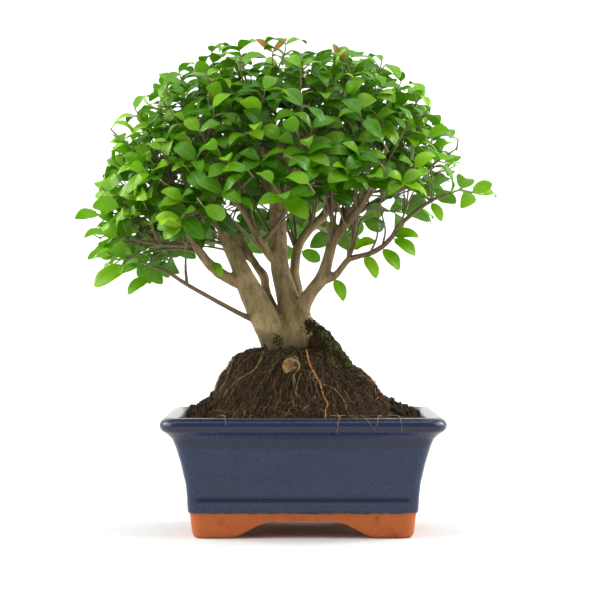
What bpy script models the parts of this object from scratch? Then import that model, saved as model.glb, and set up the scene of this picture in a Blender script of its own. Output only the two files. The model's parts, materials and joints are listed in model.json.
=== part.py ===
"""Sweet plum bonsai: a twin trunk on its exposed root ball, in a glazed pot with bare clay feet.

Lengths in the tables are millimetres, from the middle of the pot's foot. The scene is in metres.
"""

import math
import random

import bmesh
import bpy
from mathutils import Matrix, Vector, noise
from mathutils.bvhtree import BVHTree

MM = 0.001
UP = Vector((0, 0, 1))

# The pot: outside sizes of the rim, and the heights that shape it
RIM_WIDTH = 204.0
RIM_DEPTH = 154.0
POT_HEIGHT = 87.0
FOOT_UNDERSIDE = 13.0
POT_FLOOR = 21.0
RIM_CORNER = 14.6
CORNER_PER_INSET = 0.3
CORNER_STEPS = 3

# The wall from the foot's inner edge, out, up over the rim and down inside: (height, inset from the rim)
POT_WALL = (
    (FOOT_UNDERSIDE, 36.5),
    (0.0, 35.5),
    (0.0, 24.8),
    (2.6, 22.8),
    (17.6, 21.0),
    (18.6, 19.6),
    (27.0, 18.9),
    (40.0, 17.6),
    (54.0, 14.6),
    (65.0, 11.4),
    (71.5, 9.0),
    (75.0, 5.4),
    (77.8, 1.4),
    (81.5, 0.0),
    (84.8, 1.2),
    (POT_HEIGHT, 4.4),
    (POT_HEIGHT, 8.8),
    (84.6, 12.0),
    (64.0, 20.6),
    (42.0, 27.6),
    (POT_FLOOR, 31.0),
)

# The arches between the feet: half widths at the floor and at the top, and their height
ARCH_HEIGHT = 12.5
FRONT_ARCH = (57.0, 20.0)
SIDE_ARCH = (29.0, 11.0)
ARCH_STEPS = 8

DRAIN_RADIUS = 7.0
DRAIN_OFFSET = 38.0
SCREEN_SIZE = 22.0
SCREEN_THICKNESS = 0.9
SCREEN_HOLE = 3.6
SCREEN_PITCH = 5.0

GAP = 0.3
BURY_GAP = 0.4

# The root ball: heights, and how far it reaches to the left, right, front and back there
SOIL_GAP = 0.8
SOIL_FLOOR = POT_FLOOR + SCREEN_THICKNESS + 2 * GAP
SOIL_IN_POT = ((SOIL_FLOOR, 32.2), (44.0, 28.2), (64.0, 21.8), (78.5, 15.4))
SOIL_INSET = 15.0
MOUND = (
    (85.0, 86.5, 87.0, 60.5, 60.5),
    (90.0, 78.0, 69.5, 55.0, 55.0),
    (99.0, 67.0, 58.0, 47.5, 46.0),
    (110.0, 61.0, 53.0, 40.0, 39.0),
    (120.0, 54.5, 39.0, 32.0, 32.0),
    (127.5, 50.0, 30.0, 25.0, 26.0),
    (132.5, 39.0, 25.0, 18.0, 20.0),
    (137.5, 14.0, 20.0, 11.0, 12.0),
)
SOIL_SIDES = 30
SOIL_LUMP = 2.2
SOIL_LUMP_SIZE = 21.0
SOIL_CRUMB = 1.0
SOIL_CRUMB_SIZE = 8.0

# The limbs: (sides, steps, stations), and each station is (x, y, z, radius)
LIMBS = {
    "left_trunk": (8, 10, (
        (-12, -3, 109, 12.0), (-15, -4, 129, 13.0), (-24, -7, 149, 11.2), (-33, -9, 166, 9.8),
        (-40, -10, 180, 8.4), (-46, -10, 194, 6.6), (-58, -7, 221, 5.2), (-68, 0, 253, 3.4),
        (-72, 6, 289, 1.6))),
    "middle_trunk": (8, 9, (
        (-6, -2, 107, 14.0), (-6, -2, 129, 15.0), (-5, -2, 146, 13.5), (-8, 0, 159, 10.5),
        (-11, 2, 172, 8.2), (-17, 4, 196, 6.8), (-18, 4, 226, 6.0), (-22, 4, 261, 4.0),
        (-28, 2, 303, 1.7))),
    "right_trunk": (8, 10, (
        (-2, -4, 133, 11.0), (-2, -5, 151, 9.4), (0, -5, 165, 6.3), (7, -6, 177, 5.0),
        (14, -7, 186, 4.8), (19, -9, 201, 4.0), (23, -10, 215, 3.8), (36, -12, 232, 2.9),
        (43, -13, 243, 2.3), (62, -16, 270, 1.4))),
    "back_trunk": (6, 7, (
        (-6, 4, 153, 7.0), (-3, 11, 169, 5.2), (-6, 24, 192, 3.9), (-1, 32, 215, 3.5),
        (17, 43, 235, 3.0), (30, 50, 246, 2.5), (60, 64, 268, 1.3))),
    "crotch_shoot": (6, 6, (
        (-17, 1, 149, 5.0), (-21, 6, 161, 3.8), (-27, 12, 177, 3.2), (-29, 16, 188, 3.4),
        (-36, 22, 198, 2.7), (-54, 40, 229, 1.9), (-66, 56, 247, 1.4))),
    "left_low_branch": (6, 6, (
        (-40, -10, 180, 5.2), (-56, -14, 187, 4.2), (-69, -18, 197, 3.7), (-80, -22, 213, 3.1),
        (-89, -24, 229, 2.6), (-99, -27, 247, 1.7))),
    "left_high_branch": (6, 4, (
        (-60, -5, 227, 4.2), (-73, 0, 232, 3.6), (-98, 10, 245, 2.6), (-112, 14, 257, 1.7))),
    "low_twig": (6, 5, (
        (-30, -9, 154, 3.0), (-46, -14, 160, 1.8), (-82, -28, 180, 1.5), (-96, -32, 189, 1.3),
        (-108, -34, 194, 1.1))),
    "low_side_twig": (4, 2, ((-80, -22, 210, 1.7), (-103, -30, 210, 1.1), (-118, -34, 213, 0.9))),
    "low_upright_twig": (4, 2, ((-84, -28, 181, 1.3), (-85, -29, 191, 1.0), (-85, -30, 200, 0.8))),
    "middle_left_fork": (6, 5, (
        (-17, 3, 198, 4.0), (-25, -1, 204, 3.4), (-37, -12, 224, 2.7), (-43, -18, 234, 2.3),
        (-50, -27, 249, 1.6))),
    "middle_front_fork": (6, 3, (
        (-30, -5, 211, 2.4), (-22, -10, 221, 1.9), (-14, -17, 233, 1.7), (-7, -30, 251, 1.3))),
    "right_left_fork": (6, 3, (
        (26, -10, 217, 2.9), (22, -8, 229, 2.3), (21, -6, 241, 2.1), (28, 0, 281, 1.3))),
    "right_right_fork": (6, 3, (
        (38, -12, 233, 2.4), (48, -14, 239, 2.0), (58, -16, 243, 1.7), (74, -19, 253, 1.3))),
    "right_low_branch": (6, 9, (
        (17, -7, 185, 3.6), (25, -10, 189, 2.8), (33, -13, 199, 2.4), (41, -16, 202, 2.0),
        (49, -18, 204, 2.0), (58, -20, 209, 1.9), (65, -22, 216, 1.8), (72, -24, 226, 1.6),
        (93, -26, 242, 1.3), (106, -26, 247, 1.1))),
    "right_low_fork": (4, 2, ((33, -13, 199, 1.9), (36, -14, 207, 1.6), (40, -15, 219, 1.2))),
    "front_left_limb": (6, 3, (
        (-56, -8, 217, 3.2), (-62, -26, 237, 2.3), (-68, -48, 255, 1.8), (-72, -64, 271, 1.2))),
    "front_limb": (6, 3, (
        (-18, 4, 226, 3.6), (-14, -18, 244, 2.6), (-8, -42, 263, 2.0), (-4, -62, 281, 1.3))),
    "front_right_limb": (6, 3, (
        (29, -11, 221, 2.6), (40, -30, 235, 2.0), (50, -50, 249, 1.6), (58, -64, 263, 1.2))),
    "top_front_limb": (6, 3, ((-22, 4, 260, 3.0), (-30, -14, 281, 2.2), (-38, -36, 301, 1.2))),
    "top_right_limb": (6, 3, (
        (-21, 4, 257, 3.0), (-8, 2, 281, 2.4), (6, 0, 299, 1.9), (16, -2, 308, 1.3))),
    "top_back_limb": (6, 3, ((-23, 4, 265, 2.8), (-16, 22, 285, 2.2), (-8, 44, 305, 1.3))),
    "back_limb": (6, 3, (
        (-18, 4, 215, 4.2), (-16, 28, 235, 3.2), (-14, 54, 257, 2.4), (-12, 76, 277, 1.4))),
    "back_left_limb": (6, 3, (
        (-60, -6, 229, 3.2), (-68, 20, 242, 2.5), (-78, 44, 257, 1.8), (-86, 60, 271, 1.3))),
    "back_right_limb": (6, 3, ((14, 41, 232, 2.8), (24, 62, 249, 2.0), (34, 80, 263, 1.3))),
    "right_buttress": (8, 5, (
        (0, -5, 150, 9.5), (12, -7, 141, 8.8), (23, -9, 129, 7.0), (33, -11, 118, 5.8),
        (43, -12, 109, 4.8), (53, -13, 101, 3.6))),
    "cut_stub": (8, 2, ((-8, -8, 129, 6.0), (-8, -24, 124, 6.4), (-8.5, -36, 122, 6.2))),
}
SUNK_LIMBS = ("left_trunk", "middle_trunk", "right_trunk", "right_buttress", "cut_stub")
SUNK_BELOW = 152.0

# Roots that lie half sunk in the face of the root ball, as (x, z) seen from the front, and a radius
FRONT_ROOTS = (
    (((5, 133), (6, 123), (11, 112), (15, 101), (17, 95), (15, 86)), 1.3),
    (((14, 109), (22, 106), (27, 101), (30, 96), (31, 91)), 1.0),
    (((-27, 135), (-31, 125), (-36, 118), (-43, 114), (-52, 107), (-58, 99)), 1.1),
)
ROOT_STEPS = 6
ROOT_START_DEPTH = 16.0

# The crown is an ellipsoid that the outermost leaves reach
CROWN_CENTRE = Vector((-13, 0, 231))
CROWN_RADII = Vector((154, 127, 133.5))
SHOOTS = 56
SHOOT_START = 0.66
LOWEST_SIDE = -0.34
LOWEST_RIGHT = 0.04
LOWEST_FRONT = 0.08
LOWEST_BACK = -0.18
SEED = 19

# Shoots at the ends of the lowest limbs: their direction and length
TIP_SHOOTS = {
    "low_twig": ((-0.86, -0.05, 0.05), 32),
    "low_side_twig": ((-0.95, -0.1, 0.15), 24),
    "low_upright_twig": ((-0.5, -0.2, 0.7), 24),
    "right_low_branch": ((0.9, 0.0, 0.12), 18),
    "right_low_fork": ((0.45, -0.3, 0.55), 30),
    "middle_trunk": ((0.2, -0.15, 1.0), 32),
}

LEAF_LENGTH = 24.0
LENGTH_SHARES = (0.84, 1.12)
WIDTH_SHARES = (0.92, 1.08)
LEAF_WIDTH = 0.58
LEAF_HALF_THICKNESS = 0.32
LEAF_ARCH = 2.2
# Along the leaf, with the share of its half width and of its arch there
LEAF_SECTIONS = ((0.40, 1.0, 0.9), (0.74, 0.80, 0.75))
TIP_DROOP = 0.9
TWIG_RADIUS = 0.75
NODE_SPACING = 9.5
NODE_HALF = 0.7
CLEARANCE = 0.6
END_GAP = 0.4
LEAF_SPREAD = (54, 80)
LEAF_LEVEL = 0.5
LEAF_LIFT = (-0.16, 0.16)
LEAN = 0.56
LEAST_OUT = 0.45
LEAF_TURN = 0.38
EDGE_ON = 0.93
TIP_SPREAD = (0, 14)
TIP = 4
LEAF_ATTEMPTS = 36
PATH_ATTEMPTS = 30
CROWN_LIMIT = 1.02
LOWEST_BRANCHLET = 195
CROWDING = 14
TIP_BONUS = 12
TIP_LEAF_ROOM = 16
BRANCHLET_STEP = 25


# Scene helpers


def clear_scene():
    for leftover in list(bpy.data.objects):
        bpy.data.objects.remove(leftover)


def new_collection(name):
    collection = bpy.data.collections.new(name)
    bpy.context.scene.collection.children.link(collection)
    return collection


def material(name, colour, roughness):
    made = bpy.data.materials.new(name)
    made.use_nodes = True
    shader = made.node_tree.nodes["Principled BSDF"]
    shader.inputs["Base Color"].default_value = (*colour, 1)
    shader.inputs["Roughness"].default_value = roughness
    shader.inputs["Metallic"].default_value = 0.0
    made.diffuse_color = (*colour, 1)
    return made


def add_object(name, mesh, collection, finish=None):
    made = bpy.data.objects.new(name, mesh)
    collection.objects.link(made)
    if finish:
        made.data.materials.append(finish)
    return made


def mesh_from(name, bm):
    bm.normal_update()
    mesh = bpy.data.meshes.new(name)
    bm.to_mesh(mesh)
    bm.free()
    return mesh


def curve_of(name, stations, sides, collection, swell=0.0):
    """A tapered limb as a bevelled poly curve with filled caps."""
    curve = bpy.data.curves.new(name, "CURVE")
    curve.dimensions = "3D"
    curve.bevel_depth = 1.0
    curve.bevel_resolution = (sides - 4) // 2
    curve.use_fill_caps = True
    spline = curve.splines.new("POLY")
    spline.points.add(len(stations) - 1)
    for point, (place, radius) in zip(spline.points, stations):
        point.co = (*(place * MM), 1)
        point.radius = (radius + swell) * MM
    return add_object(name, curve, collection)


def curves_to_meshes(collection):
    """Turns every curve of the collection into a welded mesh, so that a Boolean can take it."""
    bpy.context.view_layer.update()
    graph = bpy.context.evaluated_depsgraph_get()
    for limb in [o for o in collection.objects if o.type == "CURVE"]:
        name = limb.name
        mesh = bpy.data.meshes.new_from_object(limb.evaluated_get(graph))
        bm = bmesh.new()
        bm.from_mesh(mesh)
        bmesh.ops.remove_doubles(bm, verts=bm.verts, dist=1e-6)
        bmesh.ops.recalc_face_normals(bm, faces=bm.faces)
        bm.to_mesh(mesh)
        bm.free()
        bpy.data.objects.remove(limb)
        add_object(name, mesh, collection)


def apply_boolean(target, operation, collection=None, cutter=None):
    """One Boolean, applied to the mesh, after which what it used is removed."""
    modifier = target.modifiers.new(operation.title(), "BOOLEAN")
    modifier.operation = operation
    modifier.solver = "EXACT"
    if collection:
        modifier.operand_type = "COLLECTION"
        modifier.collection = collection
    else:
        modifier.object = cutter
    bpy.context.view_layer.update()
    graph = bpy.context.evaluated_depsgraph_get()
    mesh = bpy.data.meshes.new_from_object(target.evaluated_get(graph))
    target.modifiers.clear()
    target.data = mesh
    for used in list(collection.objects) if collection else [cutter]:
        bpy.data.objects.remove(used)


# Growth: where the limbs, shoots and leaves are


def smooth(points, steps):
    """Stations (place, radius) on a smooth curve through the points (x, y, z, radius)."""
    rows = [Vector(p) for p in points]
    rows = [2 * rows[0] - rows[1], *rows, 2 * rows[-1] - rows[-2]]
    spans = len(rows) - 3
    made = []
    for step in range(steps + 1):
        at = step / steps * spans
        k = min(int(at), spans - 1)
        t = at - k
        a, b, c, d = rows[k:k + 4]
        row = 0.5 * (2 * b + (c - a) * t + (2 * a - 5 * b + 4 * c - d) * t ** 2 + (3 * b - a - 3 * c + d) * t ** 3)
        made.append((Vector(row[:3]), row[3]))
    return made


def square_axes(direction, normal):
    """Two unit vectors across a direction: the side, and the normal made square to it."""
    side = direction.cross(normal).normalized()
    return side, side.cross(direction).normalized()


def prism(stations, swell=0.0):
    """Corners and faces of a square tube along the stations, to test what it would touch."""
    corners, faces = [], []
    for k, (place, radius) in enumerate(stations):
        before = stations[max(k - 1, 0)][0]
        after = stations[min(k + 1, len(stations) - 1)][0]
        along = (after - before).normalized()
        side, normal = square_axes(along, UP if abs(along.z) < 0.9 else Vector((0, 1, 0)))
        reach = (radius + swell) * math.sqrt(2)
        corners += [place + reach * v for v in (side, normal, -side, -normal)]
    for k in range(len(stations) - 1):
        for n in range(4):
            a, b = 4 * k + n, 4 * k + (n + 1) % 4
            faces.append((a, b, b + 4, a + 4))
    faces += [(0, 1, 2, 3), tuple(4 * len(stations) - n for n in (4, 3, 2, 1))]
    return corners, faces


class Grown:
    """What has grown so far, to keep new shoots and leaves clear of it."""

    def __init__(self):
        self.pieces = []

    def add(self, shape, owner):
        corners, faces = shape
        centre = sum(corners, Vector()) / len(corners)
        reach = max((c - centre).length for c in corners)
        self.pieces.append((centre, reach, BVHTree.FromPolygons(corners, faces), owner))

    def is_clear(self, shape, ignore=()):
        corners, faces = shape
        centre = sum(corners, Vector()) / len(corners)
        reach = max((c - centre).length for c in corners)
        tree = None
        for other, other_reach, other_tree, owner in self.pieces:
            if owner in ignore or (other - centre).length > reach + other_reach:
                continue
            tree = tree or BVHTree.FromPolygons(corners, faces)
            if tree.overlap(other_tree):
                return False
        return True


def crown_anchors():
    """Starts and directions of shoots spread evenly inside the crown."""
    anchors = []
    golden = math.pi * (3 - math.sqrt(5))
    rng = random.Random(SEED)
    for k in range(SHOOTS):
        height = 0.97 - (0.97 - LOWEST_SIDE) * (k + 0.5) / SHOOTS
        around = k * golden + rng.uniform(-0.12, 0.12)
        flat = math.sqrt(1 - height ** 2)
        outward = Vector((flat * math.cos(around), flat * math.sin(around), height))
        lowest = LOWEST_SIDE
        lowest += (LOWEST_RIGHT - LOWEST_SIDE) * max(0, outward.x) ** 2
        lowest += (LOWEST_FRONT - LOWEST_SIDE) * max(0, -outward.y) ** 2
        lowest += (LOWEST_BACK - LOWEST_SIDE) * max(0, outward.y) ** 2
        if height < lowest:
            continue
        radius = outward * CROWN_RADII
        start = SHOOT_START + rng.uniform(-0.05, 0.05)
        direction = Vector(o / r for o, r in zip(outward, CROWN_RADII)).normalized()
        length = radius.length * (1 - start) - TIP_LEAF_ROOM
        anchors.append((CROWN_CENTRE + radius * start, direction, length))
    return anchors


def branchlet(anchor, direction, limbs, taken):
    """A curved branchlet from the best place on the limbs to a shoot's start."""
    best = None
    for stations in limbs:
        for k in range(1, len(stations)):
            place, radius = stations[k]
            along = (place - stations[k - 1][0]).normalized()
            gap = anchor - place
            if radius < 1.1 or place.z < LOWEST_BRANCHLET or gap.length < 6:
                continue
            crowded = sum(max(0, CROWDING - (place - t).length) for t in taken)
            bonus = TIP_BONUS if k == len(stations) - 1 else 0
            cost = gap.length * (1.35 - 0.55 * gap.normalized().dot(along)) + crowded - bonus
            if best is None or cost < best[0]:
                best = (cost, place, radius, along)
    _, place, radius, along = best
    taken.append(place)
    gap = anchor - place
    leave = (along * 0.6 + gap.normalized()).normalized() * gap.length * 0.4
    arrive = (direction * 0.8 + gap.normalized()).normalized() * gap.length * 0.35
    steps = max(2, round(gap.length / BRANCHLET_STEP))
    stations = []
    for step in range(steps + 1):
        t = step / steps
        a, b, c = (1 - t) ** 3, 3 * t * (1 - t) ** 2, 3 * t ** 2 * (1 - t)
        spot = a * place + b * (place + leave) + c * (anchor - arrive) + t ** 3 * anchor
        stations.append((spot, min(radius * 0.75, 1.9) * (1 - t) + 0.95 * t))
    return stations


def end_of(stations):
    """Where a limb ends and the direction it ends in."""
    place = stations[-1][0]
    return place, (place - stations[-2][0]).normalized()


def shoot_path(start, first, direction, length, rng):
    """Stations of a shoot, one at each node, that leaves along first and turns to its direction."""
    nodes = max(2, round(length / NODE_SPACING))
    aim = (direction + 0.2 * random_vector(rng)).normalized()
    heading = first
    place = start.copy()
    stations = [(start.copy(), TWIG_RADIUS)]
    for k in range(nodes):
        place = place + heading * (length / nodes)
        heading = (heading + aim * 0.9 + 0.12 * random_vector(rng)).normalized()
        stations.append((place.copy(), TWIG_RADIUS - 0.15 * (k + 1) / nodes))
    return stations


def random_vector(rng):
    return Vector([rng.uniform(-1, 1) for _ in range(3)])


def node_axes(stations, k, normal):
    """At a node of a shoot: the way it runs, and the two ways across that its square sides face."""
    after = stations[min(k + 1, len(stations) - 1)][0]
    tangent = (after - stations[k - 1][0]).normalized()
    return tangent, square_axes(tangent, normal)


def slots_of(k, last):
    """The sides of a node that may carry a leaf: two by turns, all four below the tip, and the tip."""
    if k == last:
        return (TIP,)
    return range(4) if k == last - 1 and last > 2 else (k % 2, k % 2 + 2)


def slot_way(axes, slot):
    return axes[slot % 2] * (1 if slot < 2 else -1)


def leaf_shape(leaf, swell=0.0):
    """Corners and faces of the solid of one leaf, from its root to its tip."""
    root, along, normal, length, width = leaf
    side, normal = square_axes(along, normal)
    thick = LEAF_HALF_THICKNESS + swell
    corners = []
    for at, wide, arch in ((0.05, 0.14, 0.0), *LEAF_SECTIONS):
        centre = root + along * length * at + normal * LEAF_ARCH * arch
        reach = side * (width / 2 * wide + swell)
        corners += [centre + s * reach + n * thick * normal for s, n in ((-1, -1), (1, -1), (1, 1), (-1, 1))]
    corners.append(leaf_tip(leaf) + along * swell)
    faces = [(3, 2, 1, 0)]
    for k in (0, 4):
        faces += [(k + n, k + (n + 1) % 4, k + 4 + (n + 1) % 4, k + 4 + n) for n in range(4)]
    faces += [(8 + n, 8 + (n + 1) % 4, 12) for n in range(4)]
    return corners, faces


def leaf_tip(leaf):
    root, along, normal, length, _ = leaf
    _, normal = square_axes(along, normal)
    return root + along * length - normal * LEAF_ARCH * TIP_DROOP


def outside(place):
    """How far out a place is: 1 on the crown's ellipsoid."""
    return math.sqrt(sum((o / r) ** 2 for o, r in zip(place - CROWN_CENTRE, CROWN_RADII)))


def fit_leaf(place, tangent, out, faces, spreads, share, grown, ignore, rng):
    """Tries a few attitudes for one leaf, and gives the first that touches nothing, or None."""
    for _ in range(LEAF_ATTEMPTS):
        spread = math.radians(rng.uniform(*spreads))
        along = tangent * math.cos(spread) + out * math.sin(spread)
        along.z = LEAF_LEVEL * along.z + rng.uniform(*LEAF_LIFT)
        along.normalize()
        leans = along.dot(tangent) > LEAN or along.dot(out) < LEAST_OUT
        facing = (faces + LEAF_TURN * random_vector(rng)).normalized()
        length = LEAF_LENGTH * share * rng.uniform(*LENGTH_SHARES)
        width = length * LEAF_WIDTH * rng.uniform(*WIDTH_SHARES)
        leaf = (place, along, facing, length, width)
        if abs(facing.dot(along)) > EDGE_ON or outside(leaf_tip(leaf)) > CROWN_LIMIT:
            continue
        if leans and spreads is LEAF_SPREAD:
            continue
        if grown.is_clear(leaf_shape(leaf, CLEARANCE), ignore):
            return leaf
    return None


def plan_leaves(owner, stations, normal, share, grown, rng, forks=()):
    """The leaves of one shoot, on the sides of its nodes that no fork takes and at its tip."""
    leaves = {}
    last = len(stations) - 1
    for k in range(1, last + 1):
        tangent, axes = node_axes(stations, k, normal)
        young = share * (1 - 0.2 * k / last)
        ignore = ((owner, k), (owner, k + 1))
        for slot in slots_of(k, last):
            if (k, slot) in forks:
                continue
            out = axes[0] if slot == TIP else slot_way(axes, slot)
            faces = axes[1] + UP * 0.5 if slot == TIP else tangent * 0.75 + UP * 0.65
            spreads = TIP_SPREAD if slot == TIP else LEAF_SPREAD
            leaf = fit_leaf(stations[k][0], tangent, out, faces, spreads, young, grown, ignore, rng)
            if leaf:
                leaves[(k, slot)] = leaf
                grown.add(leaf_shape(leaf), "leaf")
    return leaves


def plan_path(start, first, direction, length, grown, ignore, rng):
    """A shoot that is clear of what has grown, or None."""
    for _ in range(PATH_ATTEMPTS):
        path = shoot_path(start, first, direction, length, rng)
        if grown.is_clear(prism(path, CLEARANCE), ignore):
            return path
    return None


def plan_fork(spray, grown):
    """A side shoot at a spray's first node, where there is room for one."""
    path, rng, owner = spray["path"], spray["rng"], ("spray", spray["number"])
    tangent, axes = node_axes(path, 1, spray["normal"])
    for slot in rng.sample((1, 3), 2):
        heading = (tangent * 0.7 + slot_way(axes, slot) * 0.75).normalized()
        length = NODE_SPACING * rng.uniform(1.8, 2.4)
        ignore = ((owner, 1), (owner, 2))
        fork = plan_path(path[1][0], heading, heading, length, grown, ignore, rng)
        if fork:
            fork_owner = ("fork", spray["number"])
            for k in range(1, len(fork)):
                grown.add(prism(fork[k - 1:k + 1]), (fork_owner, k))
            spray["forks"][(1, slot)] = fork
            return


def plan_sprays(starts, grown):
    """Sprays: a main shoot with at most one side shoot, and the leaves of both."""
    sprays = []
    for anchor, first, direction, length, owner in starts:
        rng = random.Random(SEED + 100 + len(sprays))
        path = plan_path(anchor + first * END_GAP, first, direction, length, grown, (owner,), rng)
        if not path:
            continue
        number = len(sprays)
        for k in range(1, len(path)):
            grown.add(prism(path[k - 1:k + 1]), (("spray", number), k))
        roll = math.pi / 4 + rng.uniform(-0.3, 0.3)
        side, up = square_axes(first, UP if abs(first.z) < 0.85 else Vector((0, -1, 0)))
        normal = (up * math.cos(roll) + side * math.sin(roll)).normalized()
        sprays.append({"number": number, "path": path, "normal": normal, "rng": rng, "forks": {}})
    for spray in sprays:
        plan_fork(spray, grown)
    for spray in sprays:
        rng, number = spray["rng"], spray["number"]
        spray["leaves"] = plan_leaves(
            ("spray", number), spray["path"], spray["normal"], 1.0, grown, rng, spray["forks"])
        for key, fork in spray["forks"].items():
            leaves = plan_leaves(("fork", number), fork, spray["normal"], 0.92, grown, rng)
            spray["forks"][key] = (fork, leaves)
    return sprays


def plan_tree():
    """Limbs, branchlets and sprays."""
    grown = Grown()
    limbs = {name: smooth(points, steps) for name, (_, steps, points) in LIMBS.items()}
    for name, stations in limbs.items():
        grown.add(prism(stations), name)
    wood = [stations[:-1] if name in TIP_SHOOTS else stations for name, stations in limbs.items()]
    branchlets, starts, taken = [], [], []
    for k, (anchor, direction, length) in enumerate(crown_anchors()):
        stations = branchlet(anchor, direction, wood, taken)
        branchlets.append(stations)
        grown.add(prism(stations), ("branchlet", k))
        starts.append((anchor, end_of(stations)[1], direction, length, ("branchlet", k)))
    for name, (direction, length) in TIP_SHOOTS.items():
        anchor, first = end_of(limbs[name])
        starts.append((anchor, first, Vector(direction).normalized(), length, name))
    return limbs, branchlets, plan_sprays(starts, grown)


# Pot


def rounded_rectangle(inset, height):
    """Points of the pot's outline at one inset from the rim."""
    radius = RIM_CORNER - CORNER_PER_INSET * inset
    half_x, half_y = RIM_WIDTH / 2 - inset - radius, RIM_DEPTH / 2 - inset - radius
    points = []
    for quarter, (sx, sy) in enumerate(((1, 1), (-1, 1), (-1, -1), (1, -1))):
        for step in range(CORNER_STEPS + 1):
            angle = (quarter + step / CORNER_STEPS) * math.pi / 2
            spot = (sx * half_x + radius * math.cos(angle), sy * half_y + radius * math.sin(angle), height)
            points.append(Vector(spot) * MM)
    return points


def loft(loops, name):
    """A closed mesh through loops of as many points each, with a face over the first and the last."""
    bm = bmesh.new()
    rings = [[bm.verts.new(p) for p in loop] for loop in loops]
    for low, high in zip(rings, rings[1:]):
        for k in range(len(low)):
            n = (k + 1) % len(low)
            bm.faces.new((low[k], low[n], high[n], high[k]))
    bm.faces.new(rings[0])
    bm.faces.new(rings[-1])
    bmesh.ops.recalc_face_normals(bm, faces=bm.faces)
    return mesh_from(name, bm)


def arch_cutter(name, widths, span, turn, cutters):
    """The space under one pair of walls: a flat outline with ogee flanks, run through the pot."""
    low, high = widths
    flank = []
    for step in range(ARCH_STEPS + 1):
        t = step / ARCH_STEPS
        flank.append((low + (high - low) * t, ARCH_HEIGHT * (0.5 - 0.5 * math.cos(math.pi * t))))
    outline = [(-x, z) for x, z in flank] + [(x, z) for x, z in reversed(flank)]
    outline = [(-low, -5.0), *outline, (low, -5.0)]
    curve = bpy.data.curves.new(name, "CURVE")
    curve.dimensions = "2D"
    curve.fill_mode = "BOTH"
    curve.extrude = span / 2 * MM
    spline = curve.splines.new("POLY")
    spline.use_cyclic_u = True
    spline.points.add(len(outline) - 1)
    for point, (x, z) in zip(spline.points, outline):
        point.co = (x * MM, z * MM, 0, 1)
    cutter = add_object(name, curve, cutters)
    cutter.rotation_euler = (math.pi / 2, 0, turn)
    bpy.context.view_layer.update()
    graph = bpy.context.evaluated_depsgraph_get()
    mesh = bpy.data.meshes.new_from_object(cutter.evaluated_get(graph))
    mesh.transform(cutter.matrix_world)
    bpy.data.objects.remove(cutter)
    bm = bmesh.new()
    bm.from_mesh(mesh)
    bmesh.ops.remove_doubles(bm, verts=bm.verts, dist=1e-6)
    bmesh.ops.recalc_face_normals(bm, faces=bm.faces)
    bm.to_mesh(mesh)
    bm.free()
    return add_object(name, mesh, cutters)


def build_pot(collection, cutters, finish):
    loops = [rounded_rectangle(inset, height) for height, inset in POT_WALL]
    pot = add_object("pot", loft(loops, "pot"), collection, finish)
    arch_cutter("front_arch", FRONT_ARCH, RIM_DEPTH, 0, cutters)
    arch_cutter("side_arch", SIDE_ARCH, RIM_WIDTH, math.pi / 2, cutters)
    for hand in (-1, 1):
        bm = bmesh.new()
        place = Matrix.Translation(Vector((hand * DRAIN_OFFSET, 0, POT_FLOOR / 2)) * MM)
        bmesh.ops.create_cone(
            bm, cap_ends=True, segments=16, radius1=DRAIN_RADIUS * MM, radius2=DRAIN_RADIUS * MM,
            depth=2 * POT_FLOOR * MM, matrix=place)
        add_object("drain", mesh_from("drain", bm), cutters)
    apply_boolean(pot, "DIFFERENCE", collection=cutters)
    return pot


def build_screen(name, hand, collection, cutters, finish):
    """A plastic screen over a drain hole, with nine square holes."""
    bm = bmesh.new()
    size = Matrix.Diagonal((SCREEN_SIZE * MM, SCREEN_SIZE * MM, SCREEN_THICKNESS * MM, 1))
    bmesh.ops.create_cube(bm, size=1, matrix=size)
    height = POT_FLOOR + GAP + SCREEN_THICKNESS / 2
    screen = add_object(name, mesh_from(name, bm), collection, finish)
    screen.location = Vector((hand * DRAIN_OFFSET, 0, height)) * MM
    for across in (-1, 0, 1):
        for along in (-1, 0, 1):
            bm = bmesh.new()
            hole = Matrix.Diagonal((SCREEN_HOLE * MM, SCREEN_HOLE * MM, 3 * SCREEN_THICKNESS * MM, 1))
            bmesh.ops.create_cube(bm, size=1, matrix=hole)
            cutter = add_object("hole", mesh_from("hole", bm), cutters)
            offset = Vector((across * SCREEN_PITCH, along * SCREEN_PITCH, 0)) * MM
            cutter.location = screen.location + offset
    apply_boolean(screen, "DIFFERENCE", collection=cutters)


# Root ball


def pot_reach(angle, inset):
    """How far the pot's outline at an inset is from its middle, at an angle."""
    radius = RIM_CORNER - CORNER_PER_INSET * inset
    core_x, core_y = RIM_WIDTH / 2 - inset - radius, RIM_DEPTH / 2 - inset - radius
    near, far = 0.0, RIM_WIDTH
    for _ in range(40):
        middle = (near + far) / 2
        x = max(abs(middle * math.cos(angle)) - core_x, 0)
        y = max(abs(middle * math.sin(angle)) - core_y, 0)
        near, far = (middle, far) if math.hypot(x, y) < radius else (near, middle)
    return near


def mound_reach(angle, level):
    _, left, right, front, back = level
    x = math.cos(angle) / (right if math.cos(angle) > 0 else left)
    y = math.sin(angle) / (back if math.sin(angle) > 0 else front)
    return 1 / math.hypot(x, y)


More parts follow.
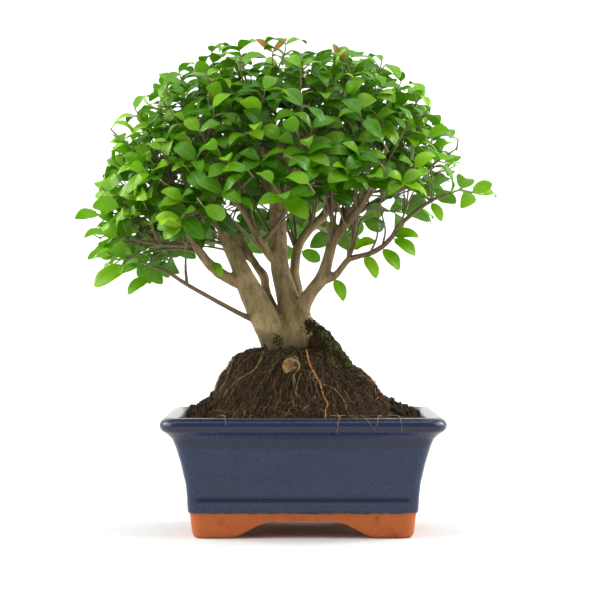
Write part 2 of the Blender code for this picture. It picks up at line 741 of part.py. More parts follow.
def soil_loops():
    turns = [k * 2 * math.pi / SOIL_SIDES for k in range(SOIL_SIDES)]
    loops = []
    for height, inset in SOIL_IN_POT:
        reaches = [pot_reach(a, inset + SOIL_GAP) for a in turns]
        loops.append([Vector((r * math.cos(a), r * math.sin(a), height)) for a, r in zip(turns, reaches)])
    for k, level in enumerate(MOUND):
        loop = []
        for angle in turns:
            reach = mound_reach(angle, level)
            limit = pot_reach(angle, SOIL_INSET)
            spot = Vector((reach * math.cos(angle), reach * math.sin(angle), level[0]))
            lump = SOIL_LUMP * noise.noise(spot / SOIL_LUMP_SIZE)
            lump += SOIL_CRUMB * noise.noise(spot / SOIL_CRUMB_SIZE)
            reach = min(reach * (1 + 1.3 * lump / max(reach, 30)), limit)
            height = level[0] + (0.7 * lump if k < len(MOUND) - 1 else 0)
            loop.append(Vector((reach * math.cos(angle), reach * math.sin(angle), height)))
        loops.append(loop)
    return loops


def build_root_ball(collection, cutters, limbs, finish):
    """The soil: it fills the pot and stands above it, with plain holes for the wood that is sunk in it."""
    loops = [[p * MM for p in loop] for loop in soil_loops()]
    soil = add_object("root_ball", loft(loops, "root_ball"), collection, finish)
    bpy.context.view_layer.update()
    graph = bpy.context.evaluated_depsgraph_get()
    surface = BVHTree.FromObject(soil, graph)
    roots = [(drape(points, radius, surface), radius) for points, radius in FRONT_ROOTS]
    for name in SUNK_LIMBS:
        stations = [s for s in limbs[name] if s[0].z < SUNK_BELOW]
        curve_of(name + "_hole", lengthened(stations), LIMBS[name][0], cutters, BURY_GAP)
    for k, (stations, _) in enumerate(roots):
        curve_of(f"root_hole_{k}", lengthened(stations), 4, cutters, BURY_GAP)
    curves_to_meshes(cutters)
    apply_boolean(soil, "DIFFERENCE", collection=cutters)
    return roots


def lengthened(stations):
    """The stations with both ends moved out by the gap of a hole."""
    (first, _), (second, _) = stations[:2]
    (before, _), (last, _) = stations[-2:]
    start = first + (first - second).normalized() * BURY_GAP
    end = last + (last - before).normalized() * BURY_GAP
    return [(start, stations[0][1]), *stations[1:-1], (end, stations[-1][1])]


def drape(points, radius, surface):
    """Stations of a root whose middle follows the face of the root ball, from inside the trunk."""
    stations = []
    path = smooth([(x, 0, z, radius) for x, z in points], ROOT_STEPS)
    for k, (place, _) in enumerate(path):
        hit = surface.ray_cast(Vector((place.x, -RIM_DEPTH, place.z)) * MM, Vector((0, 1, 0)))[0]
        depth = hit.y / MM if hit else -ROOT_START_DEPTH
        taper = 1 - 0.45 * k / ROOT_STEPS
        stations.append((Vector((place.x, depth, place.z)), radius * taper))
    first = stations[0][0]
    inside = Vector((first.x * 0.6 - 5, -ROOT_START_DEPTH + 8, first.z + 4))
    return [(inside, radius * 1.2), *stations]


# Wood


def build_wood(collection, limbs, branchlets, roots, finish):
    """Trunks, limbs, branchlets, the cut stub and the surface roots, grown together as one piece."""
    joined = new_collection("joined")
    for name, stations in limbs.items():
        curve_of(name, stations, LIMBS[name][0], joined)
    for k, stations in enumerate(branchlets):
        curve_of(f"branchlet_{k:02d}", stations, 4, joined)
    for k, (stations, _) in enumerate(roots):
        curve_of(f"root_{k}", stations, 4, joined)
    curves_to_meshes(joined)
    trunk = joined.objects["middle_trunk"]
    joined.objects.unlink(trunk)
    collection.objects.link(trunk)
    trunk.name = "tree_wood"
    apply_boolean(trunk, "UNION", collection=joined)
    trunk.data.materials.clear()
    trunk.data.materials.append(finish)
    bpy.data.collections.remove(joined)


# Sprays


def extrude_to(bm, face, old_axes, centre, axes, halves):
    """Extrudes a four-sided face to a rectangle about centre, corner for corner."""
    middle = face.calc_center_median()
    made = bmesh.ops.extrude_discrete_faces(bm, faces=[face])["faces"][0]
    for vert in made.verts:
        offset = vert.co - middle
        spot = centre.copy()
        for old, new, half in zip(old_axes, axes, halves):
            spot += new * half * (1 if offset.dot(old) > 0 else -1)
        vert.co = spot
    return made


def side_face(face, direction):
    """The face beside a ring's last face that looks most along a direction."""
    around = {f for edge in face.edges for f in edge.link_faces if f is not face}
    for f in around:
        f.normal_update()
    return max(around, key=lambda f: f.normal.dot(direction))


def turned_axes(old_axes, along, side, normal):
    """A leaf's side and normal, signed and paired with the axes of the face that it grows from."""
    a, b = old_axes
    swapped = abs(side.dot(b)) + abs(normal.dot(a)) > abs(side.dot(a)) + abs(normal.dot(b))
    first, second = (normal, side) if swapped else (side, normal)
    first = first * math.copysign(1, first.dot(a))
    handed = math.copysign(1, a.cross(b).dot(along))
    second = second * math.copysign(1, first.cross(second).dot(along) * handed)
    return (first, second), swapped


def grow_leaf(bm, face, old_axes, leaf):
    """A leaf drawn out of a face of its shoot: two sections and a pointed tip."""
    root, along, normal, length, width = leaf
    side, normal = square_axes(along, normal)
    axes, swapped = turned_axes(old_axes, along, side, normal)
    for at, wide, arch in LEAF_SECTIONS:
        centre = (root + along * length * at + normal * LEAF_ARCH * arch) * MM
        halves = (width / 2 * wide * MM, LEAF_HALF_THICKNESS * MM)
        face = extrude_to(bm, face, old_axes, centre, axes, halves[::-1] if swapped else halves)
        old_axes = axes
    tip = bmesh.ops.extrude_discrete_faces(bm, faces=[face])["faces"][0]
    bmesh.ops.pointmerge(bm, verts=tip.verts, merge_co=leaf_tip(leaf) * MM)


def grow_shoot(bm, face, old_axes, stations, normal, leaves, forks):
    """Draws a shoot along its stations, with a short ring at each node that carries what grows there."""
    last = len(stations) - 1
    for k in range(1, last + 1):
        place, radius = stations[k]
        tangent, sides = node_axes(stations, k, normal)
        axes, _ = turned_axes(old_axes, tangent, *sides)
        halves = (radius * MM, radius * MM)
        if k == last:
            face = extrude_to(bm, face, old_axes, place * MM, axes, halves)
            if (k, TIP) in leaves:
                grow_leaf(bm, face, axes, leaves[(k, TIP)])
            return
        taken = [slot for slot in range(4) if (k, slot) in leaves or (k, slot) in forks]
        if not taken:
            face = extrude_to(bm, face, old_axes, place * MM, axes, halves)
            old_axes = axes
            continue
        before, after = (place - tangent * NODE_HALF) * MM, (place + tangent * NODE_HALF) * MM
        face = extrude_to(bm, face, old_axes, before, axes, halves)
        face = extrude_to(bm, face, axes, after, axes, halves)
        for slot in taken:
            beside = side_face(face, slot_way(sides, slot))
            across = sides[1 - slot % 2]
            if (k, slot) in leaves:
                grow_leaf(bm, beside, (tangent, across), leaves[(k, slot)])
            else:
                fork, fork_leaves = forks[(k, slot)]
                grow_shoot(bm, beside, (tangent, across), fork, normal, fork_leaves, {})
        old_axes = axes


def build_spray(spray, collection, finish):
    """One leafy shoot as one body: a square twig, with each leaf drawn out of its side."""
    path = spray["path"]
    start, radius = path[0]
    tangent = (path[1][0] - start).normalized()
    side, normal = square_axes(tangent, spray["normal"])
    length = 1.6
    turn = Matrix((side, tangent, normal)).transposed().to_4x4()
    size = Matrix.Diagonal((2 * radius * MM, length * MM, 2 * radius * MM, 1))
    place = Matrix.Translation((start + tangent * length / 2) * MM)
    bm = bmesh.new()
    bmesh.ops.create_cube(bm, size=1, matrix=place @ turn @ size)
    bmesh.ops.recalc_face_normals(bm, faces=bm.faces)
    bm.normal_update()
    end = max(bm.faces, key=lambda f: f.normal.dot(tangent))
    grow_shoot(bm, end, (side, normal), path, spray["normal"], spray["leaves"], spray["forks"])
    name = f"spray_{spray['number']:02d}"
    add_object(name, mesh_from(name, bm), collection, finish)


def centre_on_base(collection):
    """Moves everything so that the middle of the whole footprint is over the origin."""
    bpy.context.view_layer.update()
    corners = [o.matrix_world @ Vector(c) for o in collection.objects for c in o.bound_box]
    for axis in (0, 1):
        low = min(c[axis] for c in corners)
        high = max(c[axis] for c in corners)
        for o in collection.objects:
            o.location[axis] -= (low + high) / 2


def main():
    clear_scene()
    bonsai = new_collection("sweet_plum_bonsai")
    cutters = new_collection("cutters")
    glaze = material("blue_glazed_stoneware", (0.045, 0.065, 0.15), 0.22)
    peat = material("peat_and_roots", (0.045, 0.028, 0.015), 0.95)
    bark = material("bark", (0.16, 0.11, 0.065), 0.8)
    leaf_green = material("leaf_green", (0.09, 0.26, 0.02), 0.35)
    netting = material("plastic_netting", (0.02, 0.02, 0.02), 0.5)
    limbs, branchlets, sprays = plan_tree()
    build_pot(bonsai, cutters, glaze)
    build_screen("drain_screen_left", -1, bonsai, cutters, netting)
    build_screen("drain_screen_right", 1, bonsai, cutters, netting)
    roots = build_root_ball(bonsai, cutters, limbs, peat)
    build_wood(bonsai, limbs, branchlets, roots, bark)
    for spray in sprays:
        build_spray(spray, bonsai, leaf_green)
    centre_on_base(bonsai)


main()
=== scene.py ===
"""Looks of the sweet plum bonsai: finer pieces built round its packed CAD part.

Lengths are millimetres from the middle of the pot's foot, as in the part. The scene is in metres.
"""

import functools
import itertools
import json
import math
import random
import typing

import bmesh
import bpy
import numpy as np
from mathutils import Matrix, Vector, noise
from mathutils.bvhtree import BVHTree

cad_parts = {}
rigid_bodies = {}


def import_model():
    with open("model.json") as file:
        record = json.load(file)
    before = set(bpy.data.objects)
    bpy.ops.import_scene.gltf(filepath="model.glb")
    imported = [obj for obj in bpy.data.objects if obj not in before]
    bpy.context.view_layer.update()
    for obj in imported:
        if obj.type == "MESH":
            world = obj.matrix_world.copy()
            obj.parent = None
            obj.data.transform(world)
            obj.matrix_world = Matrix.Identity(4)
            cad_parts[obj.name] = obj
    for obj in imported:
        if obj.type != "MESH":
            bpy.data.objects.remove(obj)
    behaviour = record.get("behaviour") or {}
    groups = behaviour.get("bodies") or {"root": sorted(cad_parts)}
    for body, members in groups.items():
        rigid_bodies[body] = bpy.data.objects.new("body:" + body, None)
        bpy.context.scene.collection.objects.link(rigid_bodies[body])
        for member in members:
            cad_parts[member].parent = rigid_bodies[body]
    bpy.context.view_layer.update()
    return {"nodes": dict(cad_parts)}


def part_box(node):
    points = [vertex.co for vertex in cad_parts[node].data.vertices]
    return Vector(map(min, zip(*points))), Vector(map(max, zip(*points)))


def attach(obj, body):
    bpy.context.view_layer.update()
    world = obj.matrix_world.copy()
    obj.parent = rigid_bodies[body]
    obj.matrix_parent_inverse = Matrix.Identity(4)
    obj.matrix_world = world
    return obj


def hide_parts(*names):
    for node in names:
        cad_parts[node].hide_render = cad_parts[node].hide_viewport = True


bl_info = {
    "name": "Sweet plum bonsai looks",
    "version": (1, 0, 0),
    "blender": (4, 5, 0),
    "location": "View3D > Sidebar > Bonsai",
    "description": "Builds the looks of a potted sweet plum bonsai round its CAD part",
    "category": "Object",
}

MM = 0.001
UP = Vector((0, 0, 1))

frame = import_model()
POT_LOW, POT_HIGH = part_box("pot")
# Where the middle of the pot's foot is in the frame
ORIGIN = Vector(((POT_LOW.x + POT_HIGH.x) / 2, (POT_LOW.y + POT_HIGH.y) / 2, 0))
SPRAY_NODES = sorted(name for name in frame["nodes"] if name.startswith("spray_"))


# Sizes of the part

RIM_WIDTH = 204.0
RIM_DEPTH = 154.0
POT_HEIGHT = 87.0
POT_FLOOR = 21.0
RIM_CORNER = 14.6
CORNER_PER_INSET = 0.3

# The wall from the foot's inner edge, out, up over the rim and down inside: (height, inset from the rim)
POT_WALL = (
    (13.0, 36.5), (0.0, 35.5), (0.0, 24.8), (2.6, 22.8), (17.6, 21.0), (18.6, 19.6), (27.0, 18.9),
    (40.0, 17.6), (54.0, 14.6), (65.0, 11.4), (71.5, 9.0), (75.0, 5.4), (77.8, 1.4), (81.5, 0.0),
    (84.8, 1.2), (POT_HEIGHT, 4.4), (POT_HEIGHT, 8.8), (84.6, 12.0), (64.0, 20.6), (42.0, 27.6),
    (POT_FLOOR, 31.0),
)
# The arches between the feet: half widths at the floor and at the top, and their height
ARCH_HEIGHT = 12.5
FRONT_ARCH = (57.0, 20.0)
SIDE_ARCH = (29.0, 11.0)
DRAIN_RADIUS = 7.0
DRAIN_OFFSET = 38.0

SOIL_GAP = 0.8
SOIL_IN_POT = ((22.5, 32.2), (44.0, 28.2), (64.0, 21.8), (78.5, 15.4))
SOIL_INSET = 15.0
# The mound: heights, and how far it reaches to the left, right, front and back there
MOUND = (
    (85.0, 86.5, 87.0, 60.5, 60.5),
    (90.0, 78.0, 69.5, 55.0, 55.0),
    (99.0, 67.0, 58.0, 47.5, 46.0),
    (110.0, 61.0, 53.0, 40.0, 39.0),
    (120.0, 54.5, 39.0, 32.0, 32.0),
    (127.5, 50.0, 30.0, 25.0, 26.0),
    (132.5, 39.0, 25.0, 18.0, 20.0),
    (137.5, 14.0, 20.0, 11.0, 12.0),
)
SOIL_LUMP = 2.2
SOIL_LUMP_SIZE = 21.0
SOIL_CRUMB = 1.0
SOIL_CRUMB_SIZE = 8.0

# The limbs: (steps, stations), and each station is (x, y, z, radius)
LIMBS = {
    "left_trunk": (10, (
        (-12, -3, 109, 12.0), (-15, -4, 129, 13.0), (-24, -7, 149, 11.2), (-33, -9, 166, 9.8),
        (-40, -10, 180, 8.4), (-46, -10, 194, 6.6), (-58, -7, 221, 5.2), (-68, 0, 253, 3.4),
        (-72, 6, 289, 1.6))),
    "middle_trunk": (9, (
        (-6, -2, 107, 14.0), (-6, -2, 129, 15.0), (-5, -2, 146, 13.5), (-8, 0, 159, 10.5),
        (-11, 2, 172, 8.2), (-17, 4, 196, 6.8), (-18, 4, 226, 6.0), (-22, 4, 261, 4.0),
        (-28, 2, 303, 1.7))),
    "right_trunk": (10, (
        (-2, -4, 133, 11.0), (-2, -5, 151, 9.4), (0, -5, 165, 6.3), (7, -6, 177, 5.0),
        (14, -7, 186, 4.8), (19, -9, 201, 4.0), (23, -10, 215, 3.8), (36, -12, 232, 2.9),
        (43, -13, 243, 2.3), (62, -16, 270, 1.4))),
    "back_trunk": (7, (
        (-6, 4, 153, 7.0), (-3, 11, 169, 5.2), (-6, 24, 192, 3.9), (-1, 32, 215, 3.5),
        (17, 43, 235, 3.0), (30, 50, 246, 2.5), (60, 64, 268, 1.3))),
    "crotch_shoot": (6, (
        (-17, 1, 149, 5.0), (-21, 6, 161, 3.8), (-27, 12, 177, 3.2), (-29, 16, 188, 3.4),
        (-36, 22, 198, 2.7), (-54, 40, 229, 1.9), (-66, 56, 247, 1.4))),
    "left_low_branch": (6, (
        (-40, -10, 180, 5.2), (-56, -14, 187, 4.2), (-69, -18, 197, 3.7), (-80, -22, 213, 3.1),
        (-89, -24, 229, 2.6), (-99, -27, 247, 1.7))),
    "left_high_branch": (4, (
        (-60, -5, 227, 4.2), (-73, 0, 232, 3.6), (-98, 10, 245, 2.6), (-112, 14, 257, 1.7))),
    "low_twig": (5, (
        (-30, -9, 154, 3.0), (-46, -14, 160, 1.8), (-82, -28, 180, 1.5), (-96, -32, 189, 1.3),
        (-108, -34, 194, 1.1))),
    "low_side_twig": (2, ((-80, -22, 210, 1.7), (-103, -30, 210, 1.1), (-118, -34, 213, 0.9))),
    "low_upright_twig": (2, ((-84, -28, 181, 1.3), (-85, -29, 191, 1.0), (-85, -30, 200, 0.8))),
    "middle_left_fork": (5, (
        (-17, 3, 198, 4.0), (-25, -1, 204, 3.4), (-37, -12, 224, 2.7), (-43, -18, 234, 2.3),
        (-50, -27, 249, 1.6))),
    "middle_front_fork": (3, (
        (-30, -5, 211, 2.4), (-22, -10, 221, 1.9), (-14, -17, 233, 1.7), (-7, -30, 251, 1.3))),
    "right_left_fork": (3, (
        (26, -10, 217, 2.9), (22, -8, 229, 2.3), (21, -6, 241, 2.1), (28, 0, 281, 1.3))),
    "right_right_fork": (3, (
        (38, -12, 233, 2.4), (48, -14, 239, 2.0), (58, -16, 243, 1.7), (74, -19, 253, 1.3))),
    "right_low_branch": (9, (
        (17, -7, 185, 3.6), (25, -10, 189, 2.8), (33, -13, 199, 2.4), (41, -16, 202, 2.0),
        (49, -18, 204, 2.0), (58, -20, 209, 1.9), (65, -22, 216, 1.8), (72, -24, 226, 1.6),
        (93, -26, 242, 1.3), (106, -26, 247, 1.1))),
    "right_low_fork": (2, ((33, -13, 199, 1.9), (36, -14, 207, 1.6), (40, -15, 219, 1.2))),
    "front_left_limb": (3, (
        (-56, -8, 217, 3.2), (-62, -26, 237, 2.3), (-68, -48, 255, 1.8), (-72, -64, 271, 1.2))),
    "front_limb": (3, (
        (-18, 4, 226, 3.6), (-14, -18, 244, 2.6), (-8, -42, 263, 2.0), (-4, -62, 281, 1.3))),
    "front_right_limb": (3, (
        (29, -11, 221, 2.6), (40, -30, 235, 2.0), (50, -50, 249, 1.6), (58, -64, 263, 1.2))),
    "top_front_limb": (3, ((-22, 4, 260, 3.0), (-30, -14, 281, 2.2), (-38, -36, 301, 1.2))),
    "top_right_limb": (3, (
        (-21, 4, 257, 3.0), (-8, 2, 281, 2.4), (6, 0, 299, 1.9), (16, -2, 308, 1.3))),
    "top_back_limb": (3, ((-23, 4, 265, 2.8), (-16, 22, 285, 2.2), (-8, 44, 305, 1.3))),
    "back_limb": (3, (
        (-18, 4, 215, 4.2), (-16, 28, 235, 3.2), (-14, 54, 257, 2.4), (-12, 76, 277, 1.4))),
    "back_left_limb": (3, (
        (-60, -6, 229, 3.2), (-68, 20, 242, 2.5), (-78, 44, 257, 1.8), (-86, 60, 271, 1.3))),
    "back_right_limb": (3, ((14, 41, 232, 2.8), (24, 62, 249, 2.0), (34, 80, 263, 1.3))),
    "right_buttress": (5, (
        (0, -5, 150, 9.5), (12, -7, 141, 8.8), (23, -9, 129, 7.0), (33, -11, 118, 5.8),
        (43, -12, 109, 4.8), (53, -13, 101, 3.6))),
    "cut_stub": (2, ((-8, -8, 129, 6.0), (-8, -24, 124, 6.4), (-8.5, -36, 122, 6.2))),
}

# The crown and its shoots, grown by the part's own rules so that its leaves fall in the same places
CROWN_CENTRE = Vector((-13, 0, 231))
CROWN_RADII = Vector((154, 127, 133.5))
SHOOTS = 56
SHOOT_START = 0.66
LOWEST_SIDE = -0.34
LOWEST_RIGHT = 0.04
LOWEST_FRONT = 0.08
LOWEST_BACK = -0.18
SEED = 19
TIP_SHOOTS = {
    "low_twig": ((-0.86, -0.05, 0.05), 32),
    "low_side_twig": ((-0.95, -0.1, 0.15), 24),
    "low_upright_twig": ((-0.5, -0.2, 0.7), 24),
    "right_low_branch": ((0.9, 0.0, 0.12), 18),
    "right_low_fork": ((0.45, -0.3, 0.55), 30),
    "middle_trunk": ((0.2, -0.15, 1.0), 32),
}
LEAF_LENGTH = 24.0
LENGTH_SHARES = (0.84, 1.12)
WIDTH_SHARES = (0.92, 1.08)
LEAF_WIDTH = 0.58
LEAF_HALF_THICKNESS = 0.32
LEAF_ARCH = 2.2
LEAF_SECTIONS = ((0.40, 1.0, 0.9), (0.74, 0.80, 0.75))
TIP_DROOP = 0.9
TWIG_RADIUS = 0.75
END_GAP = 0.4
LEAF_SPREAD = (54, 80)
LEAF_LEVEL = 0.5
LEAF_LIFT = (-0.16, 0.16)
LEAN = 0.56
LEAST_OUT = 0.45
LEAF_TURN = 0.38
EDGE_ON = 0.93
TIP_SPREAD = (0, 14)
TIP = 4
LEAF_ATTEMPTS = 36
PATH_ATTEMPTS = 30
CROWN_LIMIT = 1.02
LOWEST_BRANCHLET = 195
CROWDING = 14
TIP_BONUS = 12
TIP_LEAF_ROOM = 16
BRANCHLET_STEP = 25
CELL = 24.0


class Rules(typing.NamedTuple):
    """Gaps kept round leaves and shoots, the spacing of leaf pairs, the share of a full leaf's size, and how
    far out on the crown's ellipsoid leaves may reach at its sides and how much further at its top."""

    leaf_gap: float
    shoot_gap: float
    spacing: float
    leaf_share: float
    side_limit: float
    top_extra: float


PART_RULES = Rules(0.6, 0.6, 9.5, 1.0, CROWN_LIMIT, 0.0)
MORE_RULES = Rules(-0.25, 0.0, 7.5, 0.92, 0.9, 0.1)


# Sizes of the looks

OUTLINE_STEP = 2.2
CORNER_STEPS = 9
PROFILE_STEP = 2.4
PROFILE_ROUNDING = 1.6
ARCH_STEPS = 24
PANEL_HALF_WIDTH = 76.0
PANEL_HALF_DEPTH = 51.0
PANEL_LOW, PANEL_HIGH = 29.5, 64.0
PANEL_EDGE = 3.6
# The wall's outer side has a smaller inset than this, and ends at this height
OUTER_INSET, OUTER_TOP = 19.5, 78.0

# Layers of shoots added inside the crown: the share of them in each, and how far out they start
MORE_LAYERS = ((0.36, 0.82), (0.28, 0.69), (0.22, 0.55), (0.14, 0.42))
MORE_SEED = 400
# The first number of the added sprays, above those of the part
MORE_FIRST = 60
MORE_SHORTEST = 24.0
MORE_RAISED = 0.2
MORE_THICKNESS = 0.55
LEAF_PIECES = 8
LEAF_SEED = 700

# The soil: corners round it, rows between the brim and the mound, and rows between the mound's levels
SOIL_SIDES = 260
BRIM_STEPS = 5
MOUND_STEPS = (6, 8, 9, 8, 7, 6, 7)
# Crumbs: the lowest they lie, and their sizes
CRUMB_SEED = 31
CRUMB_LOWEST = 79.0
CRUMB_SIZES = (1.0, 2.8)
# Clods heaped at both ends of the pot: how far from the middle, their sizes, and how high they are heaped
CLOD_PLACES = (66.0, 85.0)
CLOD_SIZES = (2.0, 5.5)
CLOD_RISE = 2.6

# Moss and peat that cling to the foot of the trunk: (x, z) from the front, spread in x and z, and how many
MOSS_SIZES = (0.6, 1.4)
MOSS_PATCHES = (
    ((-29, 131), (3.0, 1.6), 150), ((-17, 134), (4.5, 1.4), 170), ((16, 146), (3.0, 3.0), 160),
    ((26, 136), (3.5, 3.5), 260), ((36, 125), (4.5, 3.5), 240), ((22, 128), (3.0, 5.0), 120),
    ((-18, 140), (2.2, 5.0), 150), ((-13, 132), (4.0, 2.4), 160), ((-2, 134), (4.0, 2.0), 90),
)
DIRT_SIZES = (0.7, 2.0)
DIRT_PATCHES = (
    ((6, 151), (2.5, 3.0), 160), ((14, 144), (3.5, 4.5), 260), ((26, 131), (6.0, 6.0), 420),
    ((42, 113), (7.0, 6.0), 400), ((-8, 132), (9.0, 1.8), 300), ((-30, 132), (3.0, 2.0), 160),
    ((-17, 136), (2.6, 4.0), 160),
)
# How far the peat on the right buttress stands off its wood, at its start and where it is full
MANTLE = (-2.6, 0.7)
ROOT_SEED = 57
# Radii of the roots that run down the mound, of the fibres, and of the roots over the rim
ROOT_RADII, FIBRE_RADII, RIM_RADII = (0.3, 0.8), (0.12, 0.27), (0.3, 0.45)
# Roots that hang over the front of the rim: x, how far they lean, and how low they end
RIM_ROOTS = ((21, 5, 80), (27, -4, 77), (33, 6, 82), (41, 9, 79), (57, -7, 81), (64, 5, 78), (-58, 4, 82))
# Roots on the front of the mound, given as (x, z) seen from the front, with a radius and a kind
FRONT_STEPS = 26
FRONT_ROOTS = (
    (((2.5, 133), (4.6, 124), (8, 117), (12.5, 109), (14.5, 101), (17.5, 96), (16, 91), (15.5, 86)),
     0.78, "orange"),
    (((14, 109), (22, 106), (27, 101), (30, 96), (31, 91)), 0.6, "tan"),
    (((-27, 135), (-31, 125), (-36, 118), (-43, 114), (-52, 107), (-58, 99)), 1.0, "olive"),
    (((-50, 127), (-54, 117), (-57, 109), (-66, 97)), 0.8, "olive"),
)


# Small helpers


def linear(code):
    """An sRGB hex value as a linear colour."""
    parts = [int(code[k:k + 2], 16) / 255 for k in (1, 3, 5)]
    return tuple(p / 12.92 if p <= 0.04045 else ((p + 0.055) / 1.055) ** 2.4 for p in parts)


def per_mm(size):
    """The scale that gives a pattern of this size in millimetres."""
    return 1 / (size * MM)


def ease(value, low, high):
    """0 below low, 1 above high, and smooth between them."""
    t = min(max((value - low) / (high - low), 0), 1)
    return t * t * (3 - 2 * t)


class Shape:
    """Corners and faces gathered for one mesh, and a pair of numbers for each corner."""

    def __init__(self, *shapes):
        self.corners, self.faces, self.marks = [], [], []
        for corners, faces in shapes:
            self.add(corners, faces)

    def add(self, corners, faces, mark=(0.0, 0.0)):
        """Adds corners and the faces between them, all with one mark."""
        first = len(self.corners)
        self.corners += corners
        self.faces += [tuple(first + n for n in face) for face in faces]
        self.marks += [mark] * len(corners)

    def mesh(self, name):
        """A mesh of what has been gathered, in its place in the scene."""
        made = bpy.data.meshes.new(name)
        made.from_pydata([ORIGIN + c * MM for c in self.corners], [], self.faces)
        made.update()
        return made


def set_map(mesh, name, values):
    """Stores a pair of numbers for each corner in a texture map."""
    layer = mesh.uv_layers.new(name=name)
    corner = np.zeros(len(mesh.loops), np.int32)
    mesh.loops.foreach_get("vertex_index", corner)
    layer.data.foreach_set("uv", np.asarray(values, np.float32)[corner].ravel())


def put(name, mesh, materials, nodes=()):
    """Shows a mesh as a piece of the bonsai that stands for CAD nodes."""
    made = bpy.data.objects.new(name, mesh)
    bpy.context.scene.collection.objects.link(made)
    for finish in materials:
        mesh.materials.append(finish)
    mesh.shade_smooth()
    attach(made, "root")
    if nodes:
        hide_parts(*nodes)


def faced_out(mesh):
    """The mesh with its faces turned to face out."""
    bm = bmesh.new()
    bm.from_mesh(mesh)
    bmesh.ops.recalc_face_normals(bm, faces=bm.faces)
    bm.to_mesh(mesh)
    bm.free()
    return mesh


def lattice(rows, count):
    """Faces of a closed tube of this many rows of corners, with a face over each end."""
    faces = []
    for k in range(rows - 1):
        for n in range(count):
            a, b = k * count + n, k * count + (n + 1) % count
            faces.append((a, b, b + count, a + count))
    return faces + [tuple(reversed(range(count))), tuple(range((rows - 1) * count, rows * count))]


def tube(stations, sides):
    """Corners and faces of a round tube, closed at both ends, through stations (place, radius)."""
    corners = []
    last = len(stations) - 1
    side = None
    for k, (place, radius) in enumerate(stations):
        along = (stations[min(k + 1, last)][0] - stations[max(k - 1, 0)][0]).normalized()
        if side is None:
            side = along.orthogonal().normalized()
        side = (side - along * side.dot(along)).normalized()
        across = along.cross(side)
        for n in range(sides):
            angle = n * 2 * math.pi / sides
            corners.append(place + (side * math.cos(angle) + across * math.sin(angle)) * radius)
    return corners, lattice(last + 1, sides)


def round_about(reach, angle, height):
    """A place at a reach and angle from the pot's middle, and a height."""
    return Vector((reach * math.cos(angle), reach * math.sin(angle), height))


# Materials

MIX_COLOUR = {"data_type": "RGBA"}
MIX_A, MIX_B, MIX_RESULT = 6, 7, 2
SMOOTH = {"interpolation_type": "SMOOTHSTEP"}
# A pattern from 0 to 1 that is used as it is
WHOLE = (0, 1, 0, 1)


def add_node(tree, kind, inputs=(), **settings):
    """Adds a node with its settings, gives its inputs values or links, and returns its outputs."""
    made = tree.nodes.new("ShaderNode" + kind)
    for key, value in settings.items():
        setattr(made, key, value)
    for key, value in dict(inputs).items():
        socket = made.inputs[key]
        if isinstance(value, bpy.types.NodeSocket):
            tree.links.new(value, socket)
        elif socket.type == "RGBA":
            socket.default_value = (*value[:3], 1)
        else:
            socket.default_value = value
    return made.outputs


def new_material(name):
    """An empty material, and what adds a node to it."""
    made = bpy.data.materials.new(name)
    made.use_nodes = True
    made.node_tree.nodes.clear()
    return made, functools.partial(add_node, made.node_tree)


def layered(add, colour, *layers):
    """Colours laid over a first one.

    A layer is a pattern, the span of it that is turned into the share of a colour (from low and high, to low
    and high), that colour, and settings for the turn.
    """
    for pattern, (low, high, least, most), over, *settings in layers:
        inputs = {"Value": pattern, "From Min": low, "From Max": high, "To Min": least, "To Max": most}
        share = add("MapRange", inputs, **dict(*settings))
        colour = add("Mix", {0: share[0], MIX_A: colour, MIX_B: over}, **MIX_COLOUR)[MIX_RESULT]
    return colour


def surface(add, colour, roughness, bumps=(), more=()):
    """A shader with a colour, a roughness and bumps over each other: (strength, height in mm, pattern)."""
    inputs = {"Base Color": colour, "Roughness": roughness, **dict(more)}
    for strength, height, pattern in bumps:
        under = {"Normal": inputs["Normal"]} if "Normal" in inputs else {}
        inputs["Normal"] = add("Bump", {
            "Strength": strength, "Distance": height * MM, "Height": pattern, **under})[0]
    return add("BsdfPrincipled", inputs)[0]


